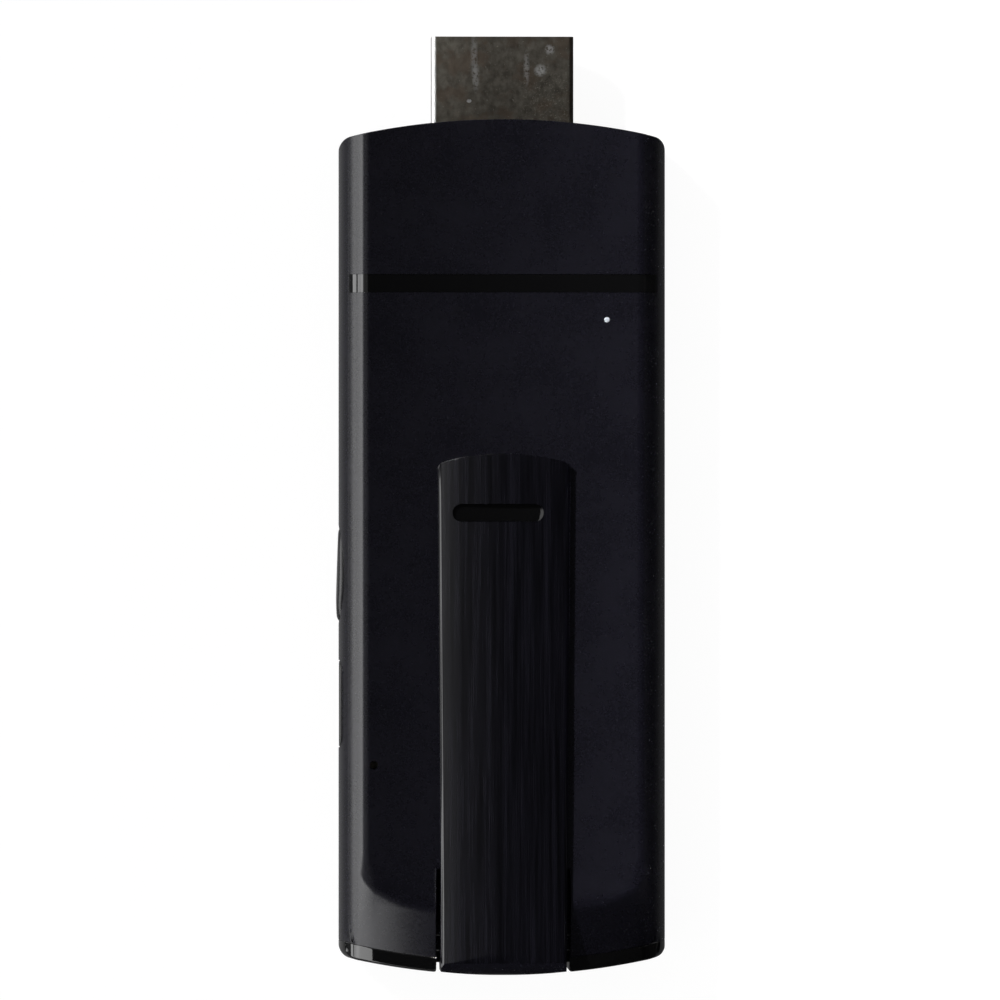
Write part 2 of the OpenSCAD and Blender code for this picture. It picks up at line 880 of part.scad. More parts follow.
module flash_chip() {
    color("#202022") chip(processor_at[0] - flash_gap, flash_y, flash_size[0], flash_size[1], flash_size[2]);
}

// Radio module: a small board under a pressed can
module wifi_module() {
    can = [module_size[0] - 2 * module_step, module_size[1] - 2 * module_step];
    color("#b4b4b0") {
        chip(module_at_x, module_y, module_size[0], module_size[1], module_step);
        chip(module_at_x, module_y, can[0], can[1], module_size[2]);
    }
}

module power_inductor() {
    x = module_at_x - module_size[0] / 2 - inductor_gap - inductor_w / 2;
    color("#3a3a3c")
        translate([x, module_y, board_top_z])
            linear_extrude(inductor_h)
                polygon(rounded_points(box_points(inductor_w, inductor_w), [inductor_r]));
}

// Two columns of capacitors, one on each side of the processor
module board_capacitors() {
    dx = processor_w / 2 + cap_gap + cap_size[0] / 2;
    color("#8a7a62")
        for (s = [-1, 1])
            for (i = [0:caps_n - 1])
                chip(
                    processor_at[0] + s * dx,
                    processor_at[1] + (i - (caps_n - 1) / 2) * cap_step,
                    cap_size[0], cap_size[1], cap_size[2]
                );
}

module clock_crystal() {
    x = processor_at[0] - processor_w / 2 - cap_gap - cap_size[0] - crystal_gap - crystal_size[0] / 2;
    color("silver") chip(x, processor_at[1], crystal_size[0], crystal_size[1], crystal_size[2]);
}

module thermal_pads() {
    color("#9aa4b4")
        translate([0, 0, chip_h]) {
            chip(processor_at[0], processor_at[1], processor_w, processor_w, pad_t);
            for (s = [-1, 1])
                chip(processor_at[0] + s * memory_dx, memory_y, memory_size[0], memory_size[1], pad_t);
        }
}

// One plate over the processor and the memory
module heat_spreader() {
    w = 2 * memory_size[0] + memory_gap + spreader_rim;
    y1 = processor_at[1] + processor_w / 2 + spreader_rim / 2;
    y0 = memory_y - memory_size[1] / 2 - spreader_rim / 2;
    color("#b8bcc0")
        translate([processor_at[0], (y0 + y1) / 2, spreader_z])
            linear_extrude(spreader_t)
                polygon(rounded_points(box_points(w, y1 - y0), [spreader_corner]));
}

// Side-acting switch under the key, open towards its plunger
module key_switch_body() {
    hole = [plunger_w / 2 + plunger_slip, plunger_h / 2 + plunger_slip];
    hole_x = -switch_x + plunger_in + key_travel + plunger_slip;
    color("#2a2a2c")
        difference() {
            block(
                [-switch_x, key_y - switch_w / 2, board_top_z],
                [-switch_x + switch_l, key_y + switch_w / 2, board_top_z + port_h]
            );
            block(
                [-switch_x - over, key_y - hole[0], mid_z - hole[1]],
                [hole_x, key_y + hole[0], mid_z + hole[1]]
            );
        }
}

module key_switch_plunger() {
    color("#d8d4c8")
        block(
            [-switch_x - plunger_out, key_y - plunger_w / 2, mid_z - plunger_h / 2],
            [-switch_x + plunger_in, key_y + plunger_w / 2, mid_z + plunger_h / 2]
        );
}

// The key: an oval stud through the wall, a flange behind it and a stem to the switch
module side_key() {
    face = [
        [-half_w - key_proud, key_crest_y],
        [-half_w, key_y - key_l / 2 - over],
        [0, key_y - key_l / 2 - over],
        [0, key_y + key_l / 2 + over],
        [-half_w, key_y + key_l / 2]
    ];
    color("#141416") {
        intersection() {
            along_x(-half_w - over, -side_x - inner_side_r / 2) key_outline(-key_clear);
            translate([0, 0, -over]) linear_extrude(body_h + 2 * over) polygon(face);
            side_ring(side_r + key_proud, flange_in_r);
        }
        intersection() {
            along_x(-half_w - over, -side_x - inner_side_r / 2) key_outline(flange_rim);
            side_ring(inner_side_r - flange_gap, flange_in_r);
        }
        block(
            [-key_back_x - flange_t / 2, key_y - stem_w / 2, mid_z - stem_h / 2],
            [-stem_x, key_y + stem_w / 2, mid_z + stem_h / 2]
        );
    }
}

// A curved sheet that follows the left side of the housing
module side_ring(r_out, r_in) {
    along_y(key_y - key_l, key_y + key_l)
        translate([-side_x, mid_z])
            difference() {
                circle(r = r_out);
                circle(r = r_in);
            }
}

module reset_switch_body() {
    hole_z = board_top_z + reset_size[2] - reset_plunger_in - key_travel - plunger_slip;
    color("#2a2a2c")
        difference() {
            chip(reset_x, reset_y, reset_size[0], reset_size[1], reset_size[2]);
            translate([reset_x, reset_y, hole_z])
                cylinder(r = reset_plunger_r + plunger_slip, h = reset_size[2]);
        }
}

module reset_switch_plunger() {
    color("#d8d4c8")
        translate([reset_x, reset_y, board_top_z + reset_size[2] - reset_plunger_in])
            cylinder(r = reset_plunger_r, h = reset_plunger_in + reset_plunger_out);
}

module status_led() {
    color("#f0eed8") chip(led_x, led_y, led_size[0], led_size[1], led_size[2]);
}

// Clear rod that carries the light to the cover's face
module light_pipe() {
    low_z = board_top_z + led_size[2] + led_gap;
    color("#d8e4ee")
        translate([led_x, led_y, 0]) {
            translate([0, 0, low_z]) cylinder(r = pipe_r, h = cover_in_z - low_z);
            translate([0, 0, low_z]) cylinder(r = pipe_tip_r, h = body_h - pipe_set - low_z);
        }
}

module coax_plug() {
    color("#c8a24a")
        difference() {
            translate([coax_x, coax_y, board_top_z]) cylinder(r = coax_r, h = coax_h);
            bar_x(coax_x, coax_x + coax_r + over, coax_y, cable_z, cable_r);
        }
}

// The route with each bend eased by points on a curve through its two neighbours
function eased_route(p) = concat(
    [p[0]],
    [
        for (i = [1:len(p) - 2])
            let (
                a = p[i] + unit(p[i - 1] - p[i]) * cable_bend,
                c = p[i] + unit(p[i + 1] - p[i]) * cable_bend
            )
            each [for (t = bend_shares) a * pow(1 - t, 2) + p[i] * 2 * t * (1 - t) + c * t * t]
    ],
    [p[len(p) - 1]]
);

// Direction of a route at one of its points
function run_at(p, i) = unit(p[min(i + 1, len(p) - 1)] - p[max(i - 1, 0)]);

// A vector square to the run, carried from the one before it
function side_at(p, i) =
    i == 0
        ? let (d = run_at(p, 0)) unit(cross(d, abs(d[2]) < 1 / 2 ? [0, 0, 1] : [1, 0, 0]))
        : let (d = run_at(p, i), s = side_at(p, i - 1)) unit(s - d * (s * d));

// Round cable swept along its eased route
module antenna_lead() {
    p = eased_route(cable_route);
    n = cable_sides;
    rings = [
        for (i = [0:len(p) - 1])
            let (d = run_at(p, i), u = side_at(p, i), v = cross(d, u))
            for (k = [0:n - 1]) p[i] + cable_r * (u * cos(360 * k / n) + v * sin(360 * k / n))
    ];
    last = (len(p) - 1) * n;
    polyhedron(
        points = rings,
        faces = concat(
            [[for (k = [0:n - 1]) k]],
            [for (i = [0:len(p) - 2]) for (k = [0:n - 1]) [i * n + k, (i + 1) * n + k, i * n + (k + 1) % n]],
            [for (i = [0:len(p) - 2]) for (k = [0:n - 1])
                [i * n + (k + 1) % n, (i + 1) * n + k, (i + 1) * n + (k + 1) % n]],
            [[for (k = [n - 1:-1:0]) last + k]]
        )
    );
}

module antenna_cable() {
    color("#2c2c2e") antenna_lead();
}

// Plan of the paddle: a bowed tip with round corners, drawn-in sides and a bowed heel
function paddle_plan() =
    let (
        tip_half = paddle_tip_w / 2,
        tip_a = asin(tip_half / tip_r),
        heel_a = asin(hinge_half / crown_r),
        tip = arc_points([0, tip_y - tip_r], tip_r, 90 - tip_a, 90 + tip_a, bow_steps),
        heel = arc_points([0, heel_y + crown_r], crown_r, 270 - heel_a, 270 + heel_a, bow_steps),
        sharp = [for (i = [0:bow_steps]) 0]
    )
    rounded_points(
        concat(tip, heel),
        concat([tip_corner_r], [for (i = [1:bow_steps - 1]) 0], [tip_corner_r], sharp)
    );

// Side view of the paddle: a thin blade that ends in the round heel about the hinge axis
module paddle_side() {
    union() {
        translate([hinge_y, paddle_z]) square([tip_y - hinge_y, paddle_t]);
        translate([hinge_y, hinge_z]) circle(r = hinge_r);
        difference() {
            translate([heel_y, hinge_z]) square([hinge_r, hinge_r]);
            translate([heel_y - over, paddle_top_z - heel_r]) square([heel_r + over, heel_r + over]);
        }
        translate([heel_y + heel_r, paddle_top_z - heel_r]) circle(r = heel_r);
    }
}

// Cross-section of the paddle: everything under the crown
module paddle_crown() {
    intersection() {
        translate([-paddle_tip_w, 0]) square([2 * paddle_tip_w, paddle_top_z]);
        translate([0, paddle_top_z - crown_r]) circle(r = crown_r, $fn = 4 * $fn);
    }
}

// Wedge that chamfers one long edge of the paddle, from the heel to past the tip
module edge_wedge(side) {
    lean = atan2((paddle_tip_w - paddle_hinge_w) / 2, tip_y - heel_y);
    edge_z = paddle_top_z - crown_r + sqrt(crown_r * crown_r - hinge_half * hinge_half);
    c = edge_chamfer;
    wedge = [
        [-side * c, edge_z], [side * over, edge_z - c - over],
        [side * over, edge_z + over], [-side * c, edge_z + over]
    ];
    translate([side * hinge_half, heel_y, 0])
        rotate([0, 0, -side * lean])
            along_y(-over, tip_y - heel_y + over) polygon(wedge);
}

module paddle_form() {
    difference() {
        intersection() {
            along_x(-paddle_tip_w, paddle_tip_w) paddle_side();
            linear_extrude(paddle_top_z) polygon(paddle_plan());
            along_y(heel_y - over, tip_y + over) paddle_crown();
        }
        for (s = [-1, 1]) edge_wedge(s);
    }
}

// The part of the paddle that its skin takes up
module skin_zone() {
    block([-paddle_tip_w, skin_end_y, skin_z], [paddle_tip_w, tip_y + over, paddle_top_z + over]);
}

module antenna_pocket(gap) {
    block(
        [-antenna_w / 2 - gap, antenna_y0 - gap, skin_z - antenna_t - gap],
        [antenna_w / 2 + gap, antenna_y1 + gap, skin_z]
    );
}

module paddle_base() {
    color("#151517")
        difference() {
            union() {
                difference() {
                    paddle_form();
                    skin_zone();
                }
                bar_x(-hinge_half - pin_l, hinge_half + pin_l, hinge_y, hinge_z, pin_r);
            }
            antenna_pocket(antenna_gap);
            bar_x(-barrel_hollow_half, barrel_hollow_half, hinge_y, hinge_z, barrel_hollow_r);
            bar_x(0, hinge_half + pin_l + over, hinge_y, hinge_z, lead_bore_r);
            block(
                [-antenna_w / 4, hinge_y, hinge_z],
                [antenna_w / 4, hinge_y + wall, skin_z]
            );
            block(
                [-antenna_w / 4, hinge_y, skin_z - antenna_t - antenna_gap],
                [antenna_w / 4, antenna_y0 + over, skin_z]
            );
        }
}

module paddle_skin() {
    color("#1f1f22")
        difference() {
            intersection() {
                paddle_form();
                skin_zone();
            }
            translate([0, nail_y, 0])
                linear_extrude(paddle_top_z + over)
                    union() {
                        square([nail_l - nail_w, nail_w], center = true);
                        for (s = [-1, 1]) translate([s * (nail_l - nail_w) / 2, 0]) circle(r = nail_w / 2);
                    }
        }
}

module antenna_strip() {
    color("#b87333")
        block(
            [-antenna_w / 2, antenna_y0, skin_z - antenna_t],
            [antenna_w / 2, antenna_y1, skin_z]
        );
}

lower_housing();
upper_cover();
trim_band();
end_cap();
circuit_board();
board_screws();
plug_shell();
plug_insulator();
plug_contacts();
port_shell();
port_tongue();
port_contacts();
processor();
memory_chips();
flash_chip();
wifi_module();
power_inductor();
board_capacitors();
clock_crystal();
thermal_pads();
heat_spreader();
key_switch_body();
key_switch_plunger();
reset_switch_body();
reset_switch_plunger();
status_led();
light_pipe();
coax_plug();
antenna_cable();
side_key();
paddle_base();
paddle_skin();
antenna_strip();
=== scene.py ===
import json
import math

import bmesh
import bpy
import numpy as np
from mathutils import Matrix, Vector

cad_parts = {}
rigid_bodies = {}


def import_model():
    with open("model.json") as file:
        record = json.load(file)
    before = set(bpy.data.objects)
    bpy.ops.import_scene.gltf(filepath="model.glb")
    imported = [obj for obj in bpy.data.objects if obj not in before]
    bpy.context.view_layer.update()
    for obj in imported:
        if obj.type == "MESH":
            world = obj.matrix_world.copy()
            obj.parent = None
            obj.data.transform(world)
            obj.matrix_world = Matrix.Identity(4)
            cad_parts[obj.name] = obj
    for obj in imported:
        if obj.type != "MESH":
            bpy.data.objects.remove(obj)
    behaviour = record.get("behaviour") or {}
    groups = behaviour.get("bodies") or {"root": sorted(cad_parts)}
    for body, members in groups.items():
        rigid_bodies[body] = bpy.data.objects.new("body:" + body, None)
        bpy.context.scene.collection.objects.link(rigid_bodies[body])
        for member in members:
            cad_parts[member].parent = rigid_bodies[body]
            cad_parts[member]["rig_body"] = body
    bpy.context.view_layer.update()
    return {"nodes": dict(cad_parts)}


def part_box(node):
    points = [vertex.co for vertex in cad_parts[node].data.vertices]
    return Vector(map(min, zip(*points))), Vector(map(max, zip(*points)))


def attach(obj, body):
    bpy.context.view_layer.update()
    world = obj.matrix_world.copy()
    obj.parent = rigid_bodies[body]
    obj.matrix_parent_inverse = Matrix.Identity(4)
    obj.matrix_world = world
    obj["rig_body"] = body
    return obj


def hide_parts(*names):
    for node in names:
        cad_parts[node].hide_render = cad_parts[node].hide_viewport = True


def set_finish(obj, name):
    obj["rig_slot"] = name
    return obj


# Looks of the wireless display receiver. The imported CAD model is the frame. Six of its outer nodes are
# replaced by copies whose edges are softened, two small pieces are added, and the rest keeps its mesh
# and gets a material. Lengths are written in millimetres, and MM turns them into the frame's metres.

for leftover in list(bpy.data.objects):
    bpy.data.objects.remove(leftover)
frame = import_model()
nodes = frame["nodes"]

MM = 0.001

# ---------------------------------------------------------------- form of the housing, as in the CAD

TRAY_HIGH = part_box("lower_housing")[1] / MM
HALF_W, HALF_L = TRAY_HIGH.x, TRAY_HIGH.y
TOP_Z = (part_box("upper_cover")[1] / MM).z
MID_Z = TOP_Z / 2
# Seam between tray and cover
COVER_DEPTH = 2
SEAM_Z = TOP_Z - COVER_DEPTH
# Rolled sides: how wide they show from above, and the radius and middle of their circle
ROLL_W = 2.5
SIDE_R = (ROLL_W**2 + MID_Z**2) / (2 * ROLL_W)
SIDE_X = HALF_W - SIDE_R
# Bowed nose and tail, and the corners beside them
END_R = 68
BOW_Y = HALF_L - END_R
CORNER_R = 1.4
# Sloped face at the tail: its length seen from above, the radius at which it starts, and its slope
BEVEL_RUN = 6.6
BEVEL_R = END_R - BEVEL_RUN
BEVEL_A = math.radians(20)
# Rounding of the tail above and below
TAIL_R = 2
TAIL_UNDER_R = 1.5
# End cap: its width seen from above, and the radius of its seam
CAP_W = 1.45
CAP_R = END_R - CAP_W
# Notch for the paddle: half its width, its end in the cover, and the set-back of the tail inside it
NOTCH_HALF = 6.5
NOTCH_Y = -31.39
NOTCH_SETBACK = 1
NOTCH_END_Y = -HALF_L + NOTCH_SETBACK
# How far the trim band lies below the cover's surface
BAND_RECESS = 0.05

# How far the real edges are rounded, where the CAD has them sharp
CREASE_R = 0.32
BEVEL_CREASE_R = 0.28
SEAM_R = 0.08
SIDE_SEAM_R = 0.02
TAIL_EDGE_R = 0.35
NOTCH_EDGE_R = 0.3
NOSE_EDGE_R = 0.1
# The side edge is rounded further near the tail, growing from before the start of the sloped face to
# behind it, and upwards from a share of that to all of it
TAIL_CORNER_R = 1.25
TAIL_CORNER_BEFORE, TAIL_CORNER_BEHIND = 4, 1
TAIL_CORNER_RHO = (BEVEL_R - TAIL_CORNER_BEFORE, BEVEL_R + TAIL_CORNER_BEHIND)
TAIL_CORNER_Z = (5.5, 9.5)
TAIL_CORNER_LOW = 0.4

# The sloped face curves down to the sides: its sideways tilt in degrees at distances from the middle,
# on the cover and on the cap behind it
SLOPE_X = (4.8, 7, 10, 12.7, 13.5, 14.2)
SLOPE_TILT = (19, 25, 31, 35.5, 40, 48)
CAP_X = (4.8, 9, 12, 12.95, 14.25, 14.45, 14.75, 15.2)
CAP_TILT = (15, 22, 28, 34.5, 44.5, 47.5, 52.6, 62.9)
# where it starts, seen from above, and half the length over which it does
SLOPE_START_X = (7.5, 9.7, 11.2, 12.6, 13.6, 14.2)
SLOPE_START_Y = (-35.2, -34.7, -34.1, -33.4, -32.3, -31.2)
SLOPE_START_EASE = 0.5
# and where it faces sideways alone: the distances from the middle, and how much of a normal has to
# face up, before the cap's seam and behind it
BESIDE_X = (13.7, 14.4)
BESIDE_UP_COVER, BESIDE_UP_CAP, BESIDE_UP_RANGE = 0.15, 0.5, 0.3
CAP_SEAM_REACH = 0.05

# Paddle
PADDLE_LOW, PADDLE_HIGH = (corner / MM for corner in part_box("paddle_skin"))
CROWN_R = 51
TIP_HALF = 6.5
HINGE_HALF = 6.125
TIP_R = 22
TIP_CORNER_R = 0.8
HEEL_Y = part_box("paddle_base")[0].y / MM
# Its sides lean outwards towards the tip: half the width at y is PADDLE_HALF + PADDLE_LEAN * y
PADDLE_LEAN = (TIP_HALF - HINGE_HALF) / (PADDLE_HIGH.y - HEEL_Y)
PADDLE_HALF = HINGE_HALF - PADDLE_LEAN * HEEL_Y
PADDLE_EDGE_R = 0.08
PADDLE_CHAMFER = 0.36
# Its crown bends down to the sides: sideways tilt in degrees at distances from the middle
CROWN_X = (0, 1, 2, 3, 4.1, 4.7, 5.3, 5.9, 6.2)
CROWN_TILT = (0, 5, 7.5, 9.5, 11, 17, 25, 30, 32)
# and the strips that the plate is cut into for that
STRIP_W = 0.6
# Fingernail slot: middle, half length, half width; the real one lies a little left of the middle
SLOT_Y = 3.41
SLOT_HALF_L = 4.45
SLOT_HALF_W = 0.875
SLOT_SHIFT = -0.57

# Side key: middle and half sizes of its oval, how far it bulges, its crest, how far from its middle the
# planes that fall off from the crest are level with the housing, and for each that place and its sign
KEY_Y, KEY_HALF_L, KEY_HALF_H = -2.6, 4.78, 2.61
KEY_PROUD = 0.33
KEY_CREST_Y = -5.834
KEY_REACH_NOSE, KEY_REACH_TAIL = 4.9, 5.9
KEY_CREST_ENDS = ((KEY_Y + KEY_REACH_NOSE, 1), (KEY_Y - KEY_REACH_TAIL, -1))
KEY_CREST_R = 0.25
KEY_EDGE_R = 0.8

# Power port's opening, and the section of its lining: x, and how far inside the opening's outline
PORT_Y, PORT_HALF_L, PORT_HALF_H, PORT_OPEN_R = -15.3, 4.28, 2.18, 1.18
PORT_RIM = (
    (-14.9, 0),
    (-15.66, 0),
    (-15.84, 0.04),
    (-15.94, 0.15),
    (-15.94, 0.28),
    (-15.88, 0.35),
    (-14.9, 0.35),
)


def round_max(a, b, reach):
    """The larger of two distances, its ridge rounded as far as the two differ by reach."""
    reach = np.maximum(reach, 1e-9)
    near = np.maximum(reach - np.abs(a - b), 0)
    return np.maximum(a, b) + near * near / (4 * reach)


def bowed(x, y, sign):
    """Distance from the middle of the bow at the nose (sign 1) or at the tail (sign -1)."""
    return np.hypot(x, y - sign * BOW_Y)


def eased(value, low, high):
    """0 below low and 1 above high, with a smooth rise between."""
    t = np.clip((value - low) / (high - low), 0, 1)
    return t * t * (3 - 2 * t)


def plan_distance(x, y):
    """Distance outside the nose and the corners seen from above, and how far round a corner it is."""
    ax, ay = np.abs(x), np.abs(y)
    corner_x = HALF_W - CORNER_R
    corner_y = BOW_Y + math.sqrt((END_R - CORNER_R) ** 2 - corner_x**2)
    swing = np.arctan2(ay - corner_y, ax - corner_x)
    last = math.atan2(corner_y - BOW_Y, corner_x)
    corner = np.hypot(ax - corner_x, ay - corner_y) - CORNER_R
    nose = np.where(y > 0, bowed(x, ay, 1) - END_R, -END_R)
    beyond = np.where(swing > last, nose, -END_R)
    distance = np.where((swing >= 0) & (swing <= last), corner, beyond)
    return distance, np.clip(swing / last, 0, 1) * (y > 0)


def tail_distance(x, y, z, soft):
    """Distance outside the sloped face and the tail, whose real edge is tighter than the CAD's."""
    rho = bowed(x, y, -1)
    edge_r = TAIL_R + soft * (TAIL_EDGE_R - TAIL_R)
    drop = (edge_r + (END_R - edge_r - BEVEL_R) * math.sin(BEVEL_A)) / math.cos(BEVEL_A)
    out, up = rho - (END_R - edge_r), z - TOP_Z + drop
    bevel = (rho - BEVEL_R) * math.sin(BEVEL_A) + (z - TOP_Z) * math.cos(BEVEL_A)
    swing = np.arctan2(up, out)
    upper = np.where(swing > math.pi / 2 - BEVEL_A, bevel, np.hypot(out, up) - edge_r)
    out, up = rho - (END_R - TAIL_UNDER_R), z - TAIL_UNDER_R
    lower = np.where((out > 0) & (up < 0), np.hypot(out, up) - TAIL_UNDER_R, rho - END_R)
    return np.where((swing > 0) & (y < 0), upper, np.where(y < 0, lower, -END_R))


def body_form(p, soft):
    """Distance outside the housing. soft is 1 for rounded edges and 0 for the CAD's sharp ones."""
    x, y, z = p.T
    side = np.hypot(np.maximum(np.abs(x) - SIDE_X, 0), z - MID_Z) - SIDE_R
    high = TAIL_CORNER_LOW + (1 - TAIL_CORNER_LOW) * eased(z, *TAIL_CORNER_Z)
    near_tail = eased(bowed(x, y, -1), *TAIL_CORNER_RHO) * (y < 0) * high
    edge_r = CREASE_R + near_tail * (TAIL_CORNER_R - CREASE_R)
    upper = round_max(z - TOP_Z, tail_distance(x, y, z, soft), soft * BEVEL_CREASE_R)
    form = round_max(upper, side, soft * edge_r)
    form = round_max(-z, form, soft * CREASE_R)
    plan, round_corner = plan_distance(x, y)
    return round_max(form, plan, soft * NOSE_EDGE_R * round_corner)


def notch_depth(p, y_end):
    """How deep a point lies in the notch at the tail, seen from above."""
    return np.minimum(NOTCH_HALF - np.abs(p[:, 0]), y_end - p[:, 1])


def cover_form(p, soft):
    form = round_max(body_form(p, soft), SEAM_Z - p[:, 2], soft * SIDE_SEAM_R)
    form = round_max(form, bowed(p[:, 0], p[:, 1], -1) - CAP_R, soft * SEAM_R)
    return round_max(form, notch_depth(p, NOTCH_Y), soft * NOTCH_EDGE_R)


def band_form(p, soft):
    return body_form(p, soft) + BAND_RECESS


def tray_form(p, soft):
    form = round_max(body_form(p, soft), p[:, 2] - SEAM_Z, soft * SIDE_SEAM_R)
    return round_max(form, bowed(p[:, 0], p[:, 1], -1) - CAP_R, soft * SEAM_R)


def cap_form(p, soft):
    inside = CAP_R - bowed(p[:, 0], p[:, 1], -1)
    form = round_max(body_form(p, soft), inside, soft * SEAM_R)
    return round_max(form, notch_depth(p, NOTCH_END_Y), soft * NOTCH_EDGE_R)


def skin_form(p, soft):
    """Distance outside the paddle's plate: over its crown, its leaning sides or its bowed tip."""
    x, y, z = p.T
    crown = np.hypot(x, z - PADDLE_HIGH.z + CROWN_R) - CROWN_R
    side = (np.abs(x) - PADDLE_HALF - PADDLE_LEAN * y) / math.hypot(1, PADDLE_LEAN)
    tip = np.hypot(x, y - PADDLE_HIGH.y + TIP_R) - TIP_R
    rim = round_max(side, np.where(y > 0, tip, -TIP_R), TIP_CORNER_R)
    form = round_max(crown, rim, soft * PADDLE_EDGE_R)
    chamfer = (crown + side + PADDLE_CHAMFER) / math.sqrt(2)
    return round_max(form, chamfer, PADDLE_EDGE_R) if soft else form


def key_form(p, soft):
    """Distance outside the side key: an oval that bulges, with its crest near one end."""
    x, y, z = p.T
    form = np.hypot(x + SIDE_X, z - MID_Z) - SIDE_R - KEY_PROUD
    for end, sign in KEY_CREST_ENDS:
        run = abs(end - KEY_CREST_Y)
        out = (-x - HALF_W - KEY_PROUD) * run + sign * (y - KEY_CREST_Y) * KEY_PROUD
        form = round_max(form, out / math.hypot(run, KEY_PROUD), soft * KEY_CREST_R)
    u, v = (y - KEY_Y) / KEY_HALF_L, (z - MID_Z) / KEY_HALF_H
    reach = np.hypot(u, v)
    oval = (reach - 1) * reach / np.maximum(np.hypot(u / KEY_HALF_L, v / KEY_HALF_H), 1e-9)
    return round_max(form, oval, soft * KEY_EDGE_R)


def slope_of(form, p):
    """How fast a form's distance grows along each axis, at every point."""
    step = 1e-4
    slope = np.empty_like(p)
    for axis in range(3):
        shift = np.zeros(3)
        shift[axis] = step
        slope[:, axis] = (form(p + shift) - form(p - shift)) / (2 * step)
    return slope


def onto(form, p, steps=6):
    """Points moved onto the form's surface."""
    least_slope = 0.1
    p = p.copy()
    for _ in range(steps):
        slope = slope_of(form, p)
        p -= (form(p) / np.maximum((slope**2).sum(1), least_slope))[:, None] * slope
    return p


def leaning(x, normals, wanted, ahead):
    """Normals that face up, leaning sideways by at least the wanted angle, with a set part along y."""
    tilt = np.arctan2(np.abs(normals[:, 0]), normals[:, 2])
    tilt = np.where(normals[:, 2] > 0, np.maximum(tilt, wanted), tilt)
    flat = np.sqrt(1 - ahead**2)
    return np.stack((np.sign(x) * flat * np.sin(tilt), ahead, flat * np.cos(tilt)), 1)


def curve_tail(p, normals, table_x, table_tilt):
    """Normals of the sloped face at the tail, leaning to the sides as its real surface does."""
    x, y, z = p.T
    ax = np.abs(x)
    start = np.interp(ax, SLOPE_START_X, SLOPE_START_Y)
    share = eased(start - y, -SLOPE_START_EASE, SLOPE_START_EASE) * (z > MID_Z)
    roll = np.arcsin(np.clip((ax - SIDE_X) / SIDE_R, 0, 1))
    tilt = np.radians(np.interp(ax, table_x, table_tilt))
    wanted = np.where(ax > table_x[-1], roll, tilt) * share
    on_cover = bowed(x, y, -1) < CAP_R + CAP_SEAM_REACH
    up = np.where(on_cover, BESIDE_UP_COVER, BESIDE_UP_CAP)
    beside = eased(ax, *BESIDE_X) * eased(normals[:, 2], up, up + BESIDE_UP_RANGE)
    return leaning(x, normals, wanted, normals[:, 1] * (1 - beside))


def curve_slope(p, normals):
    return curve_tail(p, normals, SLOPE_X, SLOPE_TILT)


def curve_cap(p, normals):
    return curve_tail(p, normals, CAP_X, CAP_TILT)


def curve_crown(p, normals):
    """Normals of the paddle's top, which bends down to its sides."""
    wanted = np.radians(np.interp(np.abs(p[:, 0]), CROWN_X, CROWN_TILT))
    return leaning(p[:, 0], normals, wanted, normals[:, 1])


# ---------------------------------------------------------------- softened copies of CAD nodes

# How far off its surface a point still belongs to a form
ON_FACE = 0.03
# An edge on the surface is split where one of some points along it misses the rounded form by more
# than this, or where the normals turn by more than so many degrees, down to a shortest length
ALONG_EDGE = (0.04, 0.15, 0.3, 0.5, 0.7, 0.85, 0.96)
MOST_MISS = 0.0012
MOST_TURN = 3
SHORTEST = 0.045
SPLIT_PASSES = 10
# A corner normal is kept up to so many degrees from its face's, on plain and on curved forms
MOST_APART_PLAIN, MOST_APART_CURVED = 50, 75


def crown_height(x):
    return PADDLE_HIGH.z - CROWN_R + math.sqrt(CROWN_R**2 - x**2)


def cut_into_triangles(bm):
    bmesh.ops.triangulate(bm, faces=[f for f in bm.faces if len(f.verts) > 3])


def shift_slot(bm):
    """Moves the rim of the fingernail slot to where the real one lies, and cuts the plate into strips
    that are narrow enough for its bent crown."""
    margin = 0.02
    half_l, half_w = SLOT_HALF_L + margin, SLOT_HALF_W + margin
    for v in bm.verts:
        if abs(v.co.x) < half_l and abs(v.co.y - SLOT_Y) < half_w:
            on_crown = abs(v.co.z - crown_height(v.co.x)) < ON_FACE
            v.co.x += SLOT_SHIFT
            if on_crown:
                v.co.z = crown_height(v.co.x)
    strips = np.arange(-10, 11) * STRIP_W
    for x in sorted({*strips, *CROWN_X, *(-x for x in CROWN_X)}):
        everything = bm.verts[:] + bm.edges[:] + bm.faces[:]
        cut = {"plane_co": (x, 0, 0), "plane_no": (1, 0, 0)}
        bmesh.ops.bisect_plane(bm, geom=everything, dist=1e-5, **cut)
    cut_into_triangles(bm)


def unit(vectors):
    return vectors / np.maximum(np.linalg.norm(vectors, axis=1, keepdims=True), 1e-9)


def positions(bm):
    bm.verts.index_update()
    return np.array([v.co[:] for v in bm.verts])


